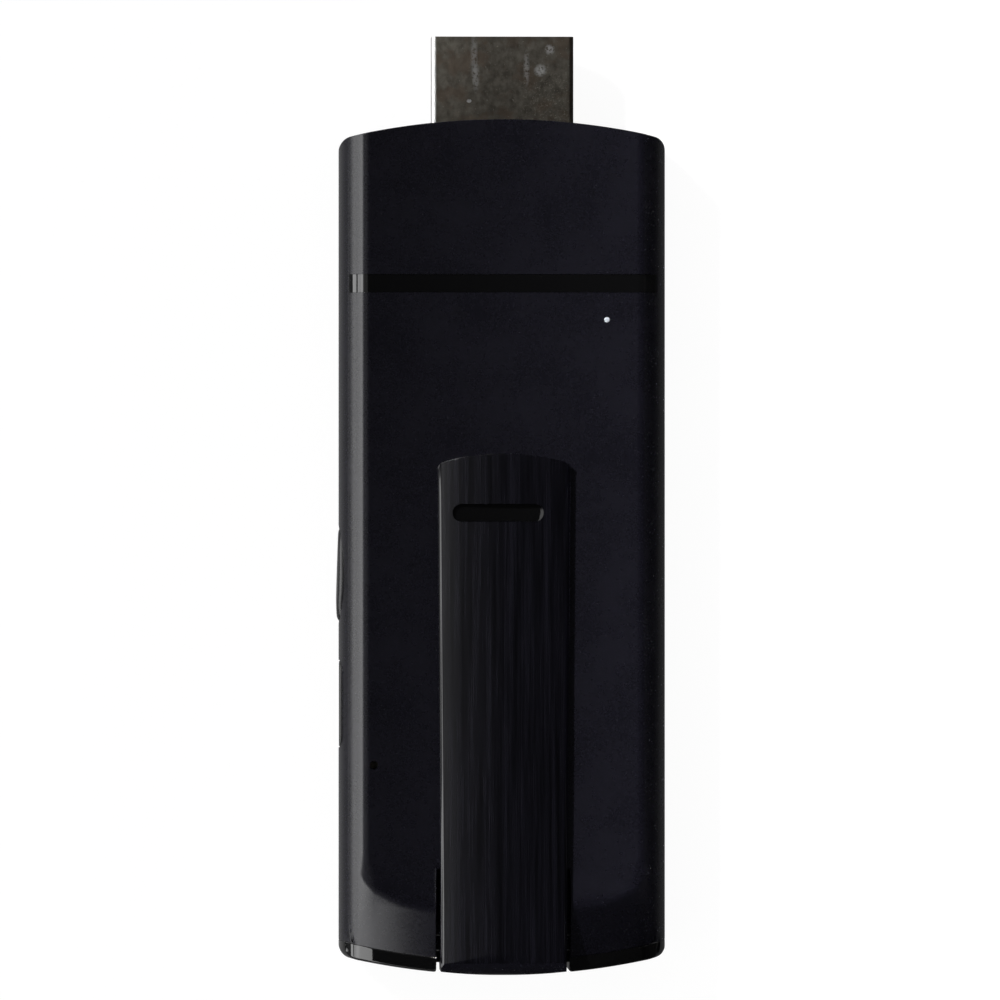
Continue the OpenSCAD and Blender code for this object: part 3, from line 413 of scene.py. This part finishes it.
def refine(bm, sharp, soft, facing):
    """Splits the mesh's edges until they follow the rounded form, and its normals where facing gives
    curved ones."""
    for _ in range(SPLIT_PASSES):
        co = positions(bm)
        ends = np.array([[v.index for v in e.verts] for e in bm.edges])
        a, b = co[ends[:, 0]], co[ends[:, 1]]
        length = np.linalg.norm(b - a, axis=1)
        on_surface = (np.abs(sharp(a)) < ON_FACE) & (np.abs(sharp(b)) < ON_FACE)
        soft_a, soft_b = soft(a), soft(b)
        wanted = np.zeros(len(a), bool)
        for share in ALONG_EDGE:
            mid = a + share * (b - a)
            bend = np.abs(soft(mid) - (1 - share) * soft_a - share * soft_b) > MOST_MISS
            wanted |= bend & (np.abs(sharp(mid)) < ON_FACE)
        if facing:
            mid = (a + b) / 2
            between = unit(facing(a) + facing(b))
            turned = (between * facing(mid)).sum(1) < math.cos(math.radians(MOST_TURN))
            wanted |= turned & (np.abs(sharp(mid)) < ON_FACE)
        wanted &= on_surface & (length > SHORTEST)
        edges = [e for e, split in zip(bm.edges, wanted) if split]
        if not edges:
            break
        bmesh.ops.subdivide_edges(bm, edges=edges, cuts=1)
        cut_into_triangles(bm)


def add_object(name, data):
    obj = bpy.data.objects.new(name, data)
    bpy.context.scene.collection.objects.link(obj)
    return obj


def softened(node, outer_form, form, name, slot, curve=None, change=None):
    """A copy of a CAD node that stands for it. Its faces on outer_form move onto the rounded form."""

    def sharp(p):
        return outer_form(p, 0)

    def soft(p):
        return form(p, 1)

    def facing(p):
        normals = unit(slope_of(soft, p))
        return curve(p, normals) if curve else normals

    bm = bmesh.new()
    bm.from_mesh(nodes[node].data)
    bmesh.ops.scale(bm, vec=Vector((1, 1, 1)) / MM, verts=bm.verts)
    bmesh.ops.remove_doubles(bm, verts=bm.verts, dist=1e-4)
    if change:
        change(bm)
    refine(bm, sharp, soft, facing if curve else None)

    co = positions(bm)
    outer = np.abs(sharp(co)) < ON_FACE
    co[outer] = onto(soft, co[outer])
    for v, place in zip(bm.verts, co):
        v.co = place
    normals = np.zeros_like(co)
    normals[outer] = facing(co[outer])
    bmesh.ops.scale(bm, vec=Vector((MM, MM, MM)), verts=bm.verts)

    mesh = bpy.data.meshes.new(name)
    bm.to_mesh(mesh)
    bm.free()
    mesh.polygons.foreach_set("use_smooth", np.ones(len(mesh.polygons), bool))
    shade_from_form(mesh, outer, normals, MOST_APART_CURVED if curve else MOST_APART_PLAIN)
    piece = add_object(name, mesh)
    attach(piece, nodes[node]["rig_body"])
    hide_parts(node)
    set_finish(piece, slot)
    return piece


def shade_from_form(mesh, outer, normals, most_apart):
    """Corner normals: the form's own on its surface, and the face's own elsewhere or where the two are
    more degrees apart than most_apart."""
    mesh.update()
    loops = np.empty(len(mesh.loops), np.int32)
    mesh.loops.foreach_get("vertex_index", loops)
    face_normals = np.empty(len(mesh.polygons) * 3)
    mesh.polygons.foreach_get("normal", face_normals)
    face_normals = np.repeat(face_normals.reshape(-1, 3), 3, axis=0)
    wanted = normals[loops]
    close = (wanted * face_normals).sum(1) > math.cos(math.radians(most_apart))
    corner = np.where((outer[loops] & close)[:, None], wanted, face_normals)
    mesh.normals_split_custom_set(corner.tolist())


pieces = [
    softened("upper_cover", body_form, cover_form, "cover", "shell_matte", curve_slope),
    softened("lower_housing", body_form, tray_form, "tray", "shell_matte", curve_slope),
    softened("end_cap", body_form, cap_form, "tail_cap", "gloss_black", curve_cap),
    softened("trim_band", band_form, band_form, "band", "gloss_black"),
    softened(
        "paddle_skin", skin_form, skin_form, "paddle_plate", "brushed_black", curve_crown, shift_slot
    ),
    softened("side_key", key_form, key_form, "key_face", "key_black"),
]


# ---------------------------------------------------------------- small pieces


def stacked(name, loops, body, slot, capped=True):
    """A piece from loops of points in millimetres, each joined to the next, all with as many points."""
    sharp_angle = math.radians(35)
    count = len(loops[0])
    points = [Vector(p) * MM for loop in loops for p in loop]
    faces = []
    for row in range(len(loops) - 1):
        for k in range(count):
            a, b = row * count + k, row * count + (k + 1) % count
            faces.append((a, b, b + count, a + count))
    if capped:
        faces.append(tuple(range(count))[::-1])
        faces.append(tuple(range((len(loops) - 1) * count, len(loops) * count)))
    mesh = bpy.data.meshes.new(name)
    mesh.from_pydata(points, [], faces)
    bm = bmesh.new()
    bm.from_mesh(mesh)
    bmesh.ops.recalc_face_normals(bm, faces=bm.faces)
    bm.to_mesh(mesh)
    bm.free()
    mesh.polygons.foreach_set("use_smooth", np.ones(len(mesh.polygons), bool))
    mesh.set_sharp_from_angle(angle=sharp_angle)
    piece = add_object(name, mesh)
    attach(piece, body)
    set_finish(piece, slot)
    return piece


def rounded_outline(half_a, half_b, corner_r, steps=10):
    """Points round a rectangle with rounded corners, with the outward direction at each."""
    points = []
    for quarter in range(4):
        toward = math.pi / 2 * (quarter + 0.5)
        middle_a = math.copysign(half_a - corner_r, math.cos(toward))
        middle_b = math.copysign(half_b - corner_r, math.sin(toward))
        for k in range(steps + 1):
            angle = math.pi / 2 * (quarter + k / steps)
            away = (math.cos(angle), math.sin(angle))
            points.append((middle_a + corner_r * away[0], middle_b + corner_r * away[1], away))
    return points


def make_port_lip():
    """Lining of the power port's opening, its rim a little proud of the housing's rolled side."""
    loops = []
    for x, inset in PORT_RIM + PORT_RIM[:1]:
        outline = rounded_outline(PORT_HALF_L - inset, PORT_HALF_H - inset, PORT_OPEN_R - inset)
        loops.append([(x, PORT_Y + a, MID_Z + b) for a, b, _ in outline])
    return stacked("port_lip", loops, "housing", "insulator_black", capped=False)


def make_slot_floor():
    """Floor of the fingernail slot, with the ramp at its right end that catches the light."""
    clear, clear_below, floor_h, least_flat = 0.02, 0.005, 0.1, 0.001
    half_l, half_w = SLOT_HALF_L - clear, SLOT_HALF_W - clear
    corner_r = half_w - least_flat
    under_z, floor_z = PADDLE_LOW.z + clear_below, PADDLE_LOW.z + floor_h
    # The ramp is widest at the right, a little towards the hinge, and its slope hardly changes
    least_w, ramp_w, skew, taper = 0.02, 0.27, 0.25, 0.6
    slope, slope_skew = 0.77, 0.04
    loops = [[], [], []]
    for a, b, away in rounded_outline(half_l, half_w, corner_r):
        x, y = SLOT_SHIFT + a, SLOT_Y + b
        width = least_w + ramp_w * max(away[0] - skew * away[1], 0) ** taper * (a > 0)
        loops[0].append((x, y, under_z))
        loops[1].append((x, y, floor_z + width * (slope - slope_skew * away[1])))
        loops[2].append((x - away[0] * width, y - away[1] * width, floor_z))
    return stacked("slot_floor", loops, "paddle", "gloss_black")


pieces += [make_port_lip(), make_slot_floor()]


# ---------------------------------------------------------------- materials


def shades(color, *parts):
    """A colour times each of some numbers."""
    return [tuple(min(part * c, 1) for c in color) for part in parts]


class Nodes:
    """Shader nodes, built up in a few lines."""

    def __init__(self, tree):
        self.tree = tree

    def node(self, kind, inputs=(), **settings):
        made = self.tree.nodes.new(kind)
        for key, value in settings.items():
            setattr(made, key, value)
        for key, value in dict(inputs).items():
            if isinstance(value, bpy.types.NodeSocket):
                self.tree.links.new(value, made.inputs[key])
            else:
                made.inputs[key].default_value = value
        return made

    def coordinates(self, kind):
        return self.node("ShaderNodeTexCoord").outputs[kind]

    def axes(self, place):
        return self.node("ShaderNodeSeparateXYZ", {"Vector": place}).outputs

    def math(self, operation, a, b):
        return self.node("ShaderNodeMath", {0: a, 1: b}, operation=operation).outputs["Value"]

    def spread(self, value, low, high, to_low=0.0, to_high=1.0, **settings):
        """A value's range from low to high, stretched to another range and held there."""
        ends = {"From Min": low, "From Max": high, "To Min": to_low, "To Max": to_high}
        return self.node("ShaderNodeMapRange", {"Value": value, **ends}, **settings).outputs["Result"]


class Finish(Nodes):
    """A node-based material."""

    def __init__(self, name, color, roughness, **values):
        self.material = bpy.data.materials.new(name)
        self.material.use_nodes = True
        super().__init__(self.material.node_tree)
        self.shader = self.tree.nodes["Principled BSDF"]
        self.shader.inputs["Base Color"].default_value = (*color, 1)
        self.shader.inputs["Roughness"].default_value = roughness
        for socket, value in values.items():
            self.shader.inputs[socket.replace("_", " ")].default_value = value
        self.place = self.coordinates("Object")

    def stretched(self, x, y, z):
        """Coordinates in millimetres, divided by a grain size along each axis."""
        scale = (1 / (x * MM), 1 / (y * MM), 1 / (z * MM))
        placed = self.node("ShaderNodeMapping", {"Vector": self.place, "Scale": scale})
        return placed.outputs["Vector"]

    def noise(self, grain, detail=2, sharpness=0.5):
        """Noise from 0 to 1 whose grain is one size in millimetres, or one for each axis."""
        sizes = grain if isinstance(grain, tuple) else (grain,) * 3
        values = {"Scale": 1, "Detail": detail, "Roughness": sharpness}
        made = self.node("ShaderNodeTexNoise", {"Vector": self.stretched(*sizes), **values})
        return made.outputs["Fac"]

    def spot(self, x, y, half_x, half_y):
        """1 in the middle of a soft oval seen from above, 0 outside it, placed in millimetres."""
        scale = (1 / (half_x * MM), 1 / (half_y * MM), 0)
        shift = (-x / half_x, -y / half_y, 0)
        inputs = {"Vector": self.place, "Location": shift, "Scale": scale}
        placed = self.node("ShaderNodeMapping", inputs).outputs["Vector"]
        reach = self.node("ShaderNodeVectorMath", {0: placed}, operation="LENGTH")
        return self.spread(reach.outputs["Value"], 1, 0.4)

    def mix(self, factor, a, b):
        made = self.node("ShaderNodeMix", {"Factor": factor}, data_type="RGBA")
        for key, value in (("A", a), ("B", b)):
            socket = next(s for s in made.inputs if s.name == key and s.type == "RGBA")
            if isinstance(value, bpy.types.NodeSocket):
                self.tree.links.new(value, socket)
            else:
                socket.default_value = (*value, 1)
        return next(s for s in made.outputs if s.type == "RGBA")

    def drive(self, socket, value):
        self.tree.links.new(value, self.shader.inputs[socket])

    def bump(self, height, depth, strength=1.0):
        """Relief of a height from 0 to 1 over a depth in millimetres."""
        inputs = {"Height": height, "Strength": strength, "Distance": depth * MM}
        self.drive("Normal", self.node("ShaderNodeBump", inputs).outputs["Normal"])


def satin_shell(name, color):
    """Matte lacquer with a fine speckle and a slight orange peel."""
    f = Finish(name, color, 0.28, Specular_IOR_Level=0.34)
    peel = f.noise(0.4, 2, 0.6)
    speckle = f.noise(0.15, 2, 0.7)
    cloud = f.noise(6, 3, 0.6)
    mottle = f.math("ADD", speckle, f.math("MULTIPLY", cloud, 0.3))
    base = f.mix(f.spread(mottle, 0.45, 0.85), *shades(color, 0.55, 1.5))
    flake = f.spread(speckle, 0.68, 0.76)
    f.drive("Base Color", f.mix(f.math("MULTIPLY", flake, 0.5), base, (0.03, 0.03, 0.034)))
    f.drive("Roughness", f.spread(f.math("ADD", peel, cloud), 0.7, 1.3, 0.25, 0.31))
    f.bump(peel, 0.004, 0.7)
    return f.material


def gloss(name, color, roughness=0.03):
    """Polished moulding: mirror-like, with a trace of dust and handling."""
    f = Finish(name, color, roughness, Specular_IOR_Level=0.5)
    haze = f.spread(f.noise(1.8, 4, 0.6), 0.35, 0.75, roughness, roughness + 0.03)
    f.drive("Roughness", haze)
    dust = f.spread(f.noise(0.12, 2, 0.6), 0.72, 0.8)
    f.drive("Base Color", f.mix(f.math("MULTIPLY", dust, 0.25), color, (0.1, 0.1, 0.1)))
    return f.material


def hairline(name, color):
    """Brushed dark lacquer, its lines running along the paddle, with polished edges at the sides."""
    f = Finish(name, color, 0.25, Specular_IOR_Level=0.36, Anisotropic=0.5)
    around = f.node("ShaderNodeTangent", direction_type="RADIAL", axis="Y")
    f.drive("Tangent", around.outputs["Tangent"])
    fine = f.noise((0.08, 8, 1), 2, 0.7)
    broad = f.noise((0.5, 22, 1), 3, 0.65)
    streak = f.math("ADD", f.math("MULTIPLY", fine, 0.4), f.math("MULTIPLY", broad, 0.6))
    f.drive("Base Color", f.mix(f.spread(streak, 0.42, 0.66), *shades(color, 0.5, 2.0)))
    axes = f.axes(f.place)
    lean = f.math("MULTIPLY", axes["Y"], PADDLE_LEAN)
    side = f.math("SUBTRACT", f.math("ABSOLUTE", axes["X"], 0), lean)
    rim = f.spread(side, (PADDLE_HALF - 0.5) * MM, (PADDLE_HALF - 0.3) * MM)
    brushed = f.spread(streak, 0.35, 0.65, 0.2, 0.3)
    brushed = f.math("MULTIPLY", brushed, f.math("SUBTRACT", 1, rim))
    f.drive("Roughness", f.math("ADD", brushed, f.math("MULTIPLY", rim, 0.08)))
    f.bump(streak, 0.003, 0.5)
    return f.material


def plug_steel(name):
    """Dull nickelled sheet, darker towards its root, with painted shade from its lit left side to the
    right and a painted highlight along its left edge, and with what use leaves on it: rubbed streaks,
    smudges, specks."""
    f = Finish(name, (0.3, 0.28, 0.24), 0.36, Metallic=1.0)
    mottle = f.noise((0.7, 0.9, 0.7), 4, 0.65)
    patch = f.noise(2.2, 3, 0.6)
    fine = f.noise(0.16, 2, 0.6)
    base = f.mix(f.spread(mottle, 0.35, 0.65), (0.3, 0.272, 0.225), (0.43, 0.4, 0.335))
    brown = f.math("MULTIPLY", f.spread(patch, 0.48, 0.6), 0.65)
    base = f.mix(brown, base, (0.36, 0.28, 0.215))

    # Painted shade: it darkens from its lit left side to the middle and on to the right side; it also
    # darkens from its tip towards the root
    axes = f.axes(f.place)
    left = f.spread(axes["X"], -5.5 * MM, -1 * MM, 1, 0.6)
    right = f.spread(axes["X"], -1 * MM, 6 * MM, 1, 0.85)
    along = f.spread(axes["Y"], 42.5 * MM, 49.5 * MM, 0.75, 1)
    painted_shade_and_darker_root = f.math("MULTIPLY", f.math("MULTIPLY", left, right), along)
    base = f.mix(painted_shade_and_darker_root, (0, 0, 0), base)

    ragged = f.spread(f.noise(0.3, 3, 0.7), 0.38, 0.5)
    for x, y, half_x, half_y, share in PLUG_WEAR:
        worn = f.math("MULTIPLY", f.math("MULTIPLY", f.spot(x, y, half_x, half_y), ragged), share)
        base = f.mix(worn, base, (0.75, 0.75, 0.74))
    speck = f.math("MULTIPLY", f.spread(fine, 0.68, 0.74), 0.4)
    base = f.mix(speck, base, (0.7, 0.66, 0.56))
    crumb = f.spread(f.noise(0.22, 4, 0.75), 0.56, 0.64)
    crumb = f.math("MULTIPLY", crumb, f.spot(4.6, 43.6, 4.2, 4.2))
    base = f.mix(f.math("MULTIPLY", crumb, 0.3), base, (0.6, 0.56, 0.45))
    # Painted highlight: the left edge is lightened nearly to white, where its rounded corner faces the
    # light from the left
    edge = f.spread(axes["X"], -6.45 * MM, -6.6 * MM, 0, 0.9)
    f.drive("Base Color", f.mix(edge, base, (0.97, 0.97, 0.96)))
    f.drive("Roughness", f.spread(mottle, 0.25, 0.75, 0.32, 0.42))
    f.bump(f.noise(0.25, 3, 0.6), 0.003, 0.5)
    return f.material


def moulded(name, color, roughness=0.5, grain=0.3):
    """Plain plastic, ceramic or rubber with a fine mottle."""
    f = Finish(name, color, roughness)
    mottle = f.noise(grain, 3, 0.6)
    f.drive("Base Color", f.mix(mottle, *shades(color, 0.8, 1.2)))
    f.drive("Roughness", f.spread(mottle, 0.3, 0.7, roughness - 0.06, roughness + 0.06))
    f.bump(mottle, 0.01, 0.4)
    return f.material


def metal(name, color, roughness=0.3, grain=(0.3, 0.3, 0.3)):
    """Plain metal with a faint grain."""
    f = Finish(name, color, roughness, Metallic=1.0)
    lines = f.noise(grain, 3, 0.6)
    f.drive("Base Color", f.mix(lines, *shades(color, 0.85, 1)))
    f.drive("Roughness", f.spread(lines, 0.3, 0.7, roughness - 0.07, roughness + 0.07))
    f.bump(lines, 0.005, 0.4)
    return f.material


def milky(name, color):
    """Clear plastic that scatters light, so that its end shows as a pale dot."""
    f = Finish(name, color, 0.2, Transmission_Weight=0.25, IOR=1.49)
    cloud = f.noise(0.3, 2, 0.5)
    f.drive("Base Color", f.mix(cloud, *shades(color, 0.85, 1)))
    f.drive("Roughness", f.spread(cloud, 0.3, 0.7, 0.15, 0.3))
    return f.material


def board(name):
    """Solder mask with its tracks showing faintly through."""
    f = Finish(name, (0.01, 0.06, 0.03), 0.35)
    pattern = {"Scale": 0.5, "Mortar Size": 0.06, "Brick Width": 1.6, "Row Height": 0.7}
    brick = f.node("ShaderNodeTexBrick", {"Vector": f.stretched(1, 1, 1), **pattern})
    tracks = brick.outputs["Fac"]
    f.drive("Base Color", f.mix(tracks, (0.01, 0.055, 0.03), (0.015, 0.1, 0.05)))
    f.bump(tracks, 0.03, 0.5)
    return f.material


# Marks on the plug: place, half sizes, strength
PLUG_WEAR = (
    (-2.78, 48.0, 0.4, 3.0, 0.42),
    (-2.6, 46.0, 0.42, 1.7, 0.42),
    (2.35, 46.9, 0.36, 2.0, 0.34),
    (4.62, 48.75, 0.55, 0.6, 0.75),
    (3.7, 46.7, 0.7, 0.68, 0.75),
    (-3.28, 43.7, 0.26, 0.2, 4.0),
)
# For each material slot of the record: how its look is made, and its colour and other values
LOOKS = {
    "shell_matte": (satin_shell, (0.0036, 0.0034, 0.0062)),
    "gloss_black": (gloss, (0.0022, 0.0022, 0.0024)),
    "brushed_black": (hairline, (0.002, 0.0019, 0.0034)),
    "key_black": (satin_shell, (0.006, 0.006, 0.007)),
    "plug_steel": (plug_steel,),
    "insulator_black": (moulded, (0.012, 0.012, 0.012)),
    "contact_gold": (metal, (0.83, 0.6, 0.24), 0.25),
    "board_green": (board,),
    "chip_black": (moulded, (0.02, 0.02, 0.021), 0.55),
    "can_silver": (metal, (0.62, 0.61, 0.58), 0.3),
    "component_tan": (moulded, (0.3, 0.24, 0.16), 0.45),
    "ferrite_grey": (moulded, (0.05, 0.05, 0.055), 0.6),
    "pad_grey": (moulded, (0.3, 0.34, 0.42), 0.7),
    "spreader_aluminium": (metal, (0.75, 0.76, 0.77), 0.34, (0.1, 4, 0.1)),
    "switch_ivory": (moulded, (0.68, 0.63, 0.52), 0.4),
    "led_white": (moulded, (0.85, 0.84, 0.72), 0.35),
    "pipe_clear": (milky, (0.66, 0.7, 0.76)),
    "screw_steel": (metal, (0.55, 0.55, 0.56), 0.28),
    "cable_black": (moulded, (0.015, 0.015, 0.016), 0.45),
    "antenna_copper": (metal, (0.75, 0.38, 0.2), 0.3),
}
finishes = {slot: make(slot + "_look", *values) for slot, (make, *values) in LOOKS.items()}


def dress(obj, slot):
    obj.data.materials.clear()
    obj.data.materials.append(finishes[slot])


for obj in nodes.values():
    dress(obj, obj.data.materials[0].name.split(".")[0])
for piece in pieces:
    dress(piece, piece["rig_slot"])


# ---------------------------------------------------------------- studio and camera

# Camera: the frame's width at the height of the object's outline, the point at its middle, and how far
# the camera stands aside of it and away from it
FRAME_W = 98
OUTLINE_Z = 5.5
VIEW_X, VIEW_Y = -0.17, 4.66
VIEW_ASIDE = -34
VIEW_DISTANCE = 1000
SENSOR = 36
# Floor: its size and drop, and to the camera, its strength and the share that takes no shadow
FLOOR_W = 6000
FLOOR_DROP = 0.01
FLOOR_STRENGTH = 1.1
FLOOR_PLAIN = 0.85
# World: its light on the object, and in reflections its ceiling, horizon, and left side high and low
WORLD_LIGHT = 0.5
CEILING = 0.022
HORIZON_GLOW = 0.28
LEFT_GLOW, LEFT_GLOW_LOW = 0.42, 1.1


class Shading(Nodes):
    """Nodes of the floor or of the world."""

    def __init__(self, tree):
        super().__init__(tree)
        self.path = self.node("ShaderNodeLightPath").outputs

    def eased(self, *values):
        return self.spread(*values, interpolation_type="SMOOTHSTEP")

    def mirrored(self):
        """1 where a surface is seen in a reflection or through glass."""
        return self.math("MAXIMUM", self.path["Is Glossy Ray"], self.path["Is Transmission Ray"])

    def mix(self, factor, a, b, output):
        made = self.node("ShaderNodeMixShader", {"Fac": factor, 1: a, 2: b})
        self.tree.links.new(made.outputs["Shader"], self.tree.nodes[output].inputs["Surface"])


def make_floor():
    """White where the camera sees it, but for a trace of the object's shadow. In reflections it glows
    with painted light, pale on the left, where the lamps stand, and falls off into painted shade, the
    dark of the room, on the other sides."""
    bpy.ops.mesh.primitive_plane_add(size=FLOOR_W * MM, location=(0, 0, -FLOOR_DROP * MM))
    floor = bpy.context.object
    floor.name = "floor"
    material = bpy.data.materials.new("floor_white")
    material.use_nodes = True
    s = Shading(material.node_tree)
    paint = s.tree.nodes["Principled BSDF"]
    paint.inputs["Base Color"].default_value = (0.8, 0.8, 0.8, 1)
    paint.inputs["Roughness"].default_value = 0.9
    paint.inputs["Specular IOR Level"].default_value = 0
    axes = s.axes(s.coordinates("Object"))
    # Painted light for reflections: a pale glow on the left beside the object, fainter further left, and
    # painted shade on the right and behind the tail
    left = s.eased(axes["X"], -27 * MM, -20 * MM, 0.16, 0.3)
    right = s.eased(axes["X"], 24 * MM, 32 * MM, 0.08, 0.015)
    across = s.eased(axes["X"], -8 * MM, 8 * MM)
    ahead = s.eased(axes["Y"], -56 * MM, -38 * MM, 0.15, 1)
    painted_glow = s.node("ShaderNodeMix", {"Factor": across, 2: left, 3: right}).outputs[0]
    seen = s.path["Is Camera Ray"]
    bright = s.math("MULTIPLY", seen, FLOOR_STRENGTH)
    strength = s.math("MAXIMUM", s.math("MULTIPLY", painted_glow, ahead), bright)
    white = s.node("ShaderNodeEmission", {"Strength": strength})
    share = s.math("MAXIMUM", s.mirrored(), s.math("MULTIPLY", seen, FLOOR_PLAIN))
    s.mix(share, paint.outputs["BSDF"], white.outputs["Emission"], "Material Output")
    material.cycles.emission_sampling = "NONE"
    floor.data.materials.append(material)


def make_world():
    """White to the camera and soft daylight on the object. In its reflections the ceiling is dark, with
    a glow over the lamps on the left and along the horizon, but none on the tail's side."""
    world = bpy.data.worlds.new("studio")
    bpy.context.scene.world = world
    world.use_nodes = True
    s = Shading(world.node_tree)
    shade = s.tree.nodes["Background"]
    shade.inputs["Color"].default_value = (1, 1, 1, 1)
    shade.inputs["Strength"].default_value = WORLD_LIGHT
    axes = s.axes(s.coordinates("Generated"))
    low = s.eased(axes["Z"], 0, 0.12, HORIZON_GLOW, 0)
    left = s.math("ADD", s.eased(axes["Z"], 0.3, 0.6, LEFT_GLOW_LOW, 0), LEFT_GLOW)
    left = s.math("MULTIPLY", left, s.eased(axes["X"], -0.25, -0.5))
    nose_side = s.eased(axes["Y"], -0.45, -0.15)
    glow = s.math("MULTIPLY", s.math("MAXIMUM", low, left), nose_side)
    seen = s.path["Is Camera Ray"]
    sky = s.math("MAXIMUM", s.math("ADD", glow, CEILING), seen)
    white = s.node("ShaderNodeBackground", {"Strength": sky})
    share = s.math("MAXIMUM", s.mirrored(), seen)
    s.mix(share, shade.outputs["Background"], white.outputs["Background"], "World Output")


def softbox(name, place, target, width, height, watts, spread=180):
    """A rectangular lamp, placed and aimed in millimetres. Its height runs along the object."""
    data = bpy.data.lights.new(name, "AREA")
    data.shape = "RECTANGLE"
    data.size, data.size_y = width * MM, height * MM
    data.energy = watts
    data.spread = math.radians(spread)
    lamp = add_object(name, data)
    lamp.location = Vector(place) * MM
    back = (Vector(place) - Vector(target)).normalized()
    across = Vector((0, 1, 0)).cross(back).normalized()
    lamp.rotation_euler = Matrix((across, back.cross(across), back)).transposed().to_euler()


def make_camera():
    data = bpy.data.cameras.new("photo_camera")
    data.sensor_width = SENSOR
    data.lens = SENSOR * VIEW_DISTANCE / FRAME_W
    data.clip_start, data.clip_end = 0.01, 20
    camera = add_object("photo_camera", data)
    place = (VIEW_X + VIEW_ASIDE, VIEW_Y, OUTLINE_Z + VIEW_DISTANCE)
    camera.location = Vector(place) * MM
    camera.rotation_euler = (0, math.atan2(VIEW_ASIDE, VIEW_DISTANCE), 0)
    bpy.context.scene.camera = camera


make_floor()
make_world()
# Strips of light that stand on and by the floor on the left
softbox("strip_near", (-52, -60, 0.3), (-52, -60, 9), 24, 540, 0.158)
softbox("strip_far", (-242, -130, 0.3), (-242, -130, 9), 316, 780, 3.07)
softbox("strip_back", (-402, -130, 62), (0, -130, 62), 124, 780, 1.2)
# Main light, from beyond the nose on the left, most of it on the right of the object
softbox("main_light", (-350, 350, 500), (76, 0, 5), 50, 300, 0.34, spread=11)
make_camera()
bpy.context.scene.view_settings.view_transform = "Standard"
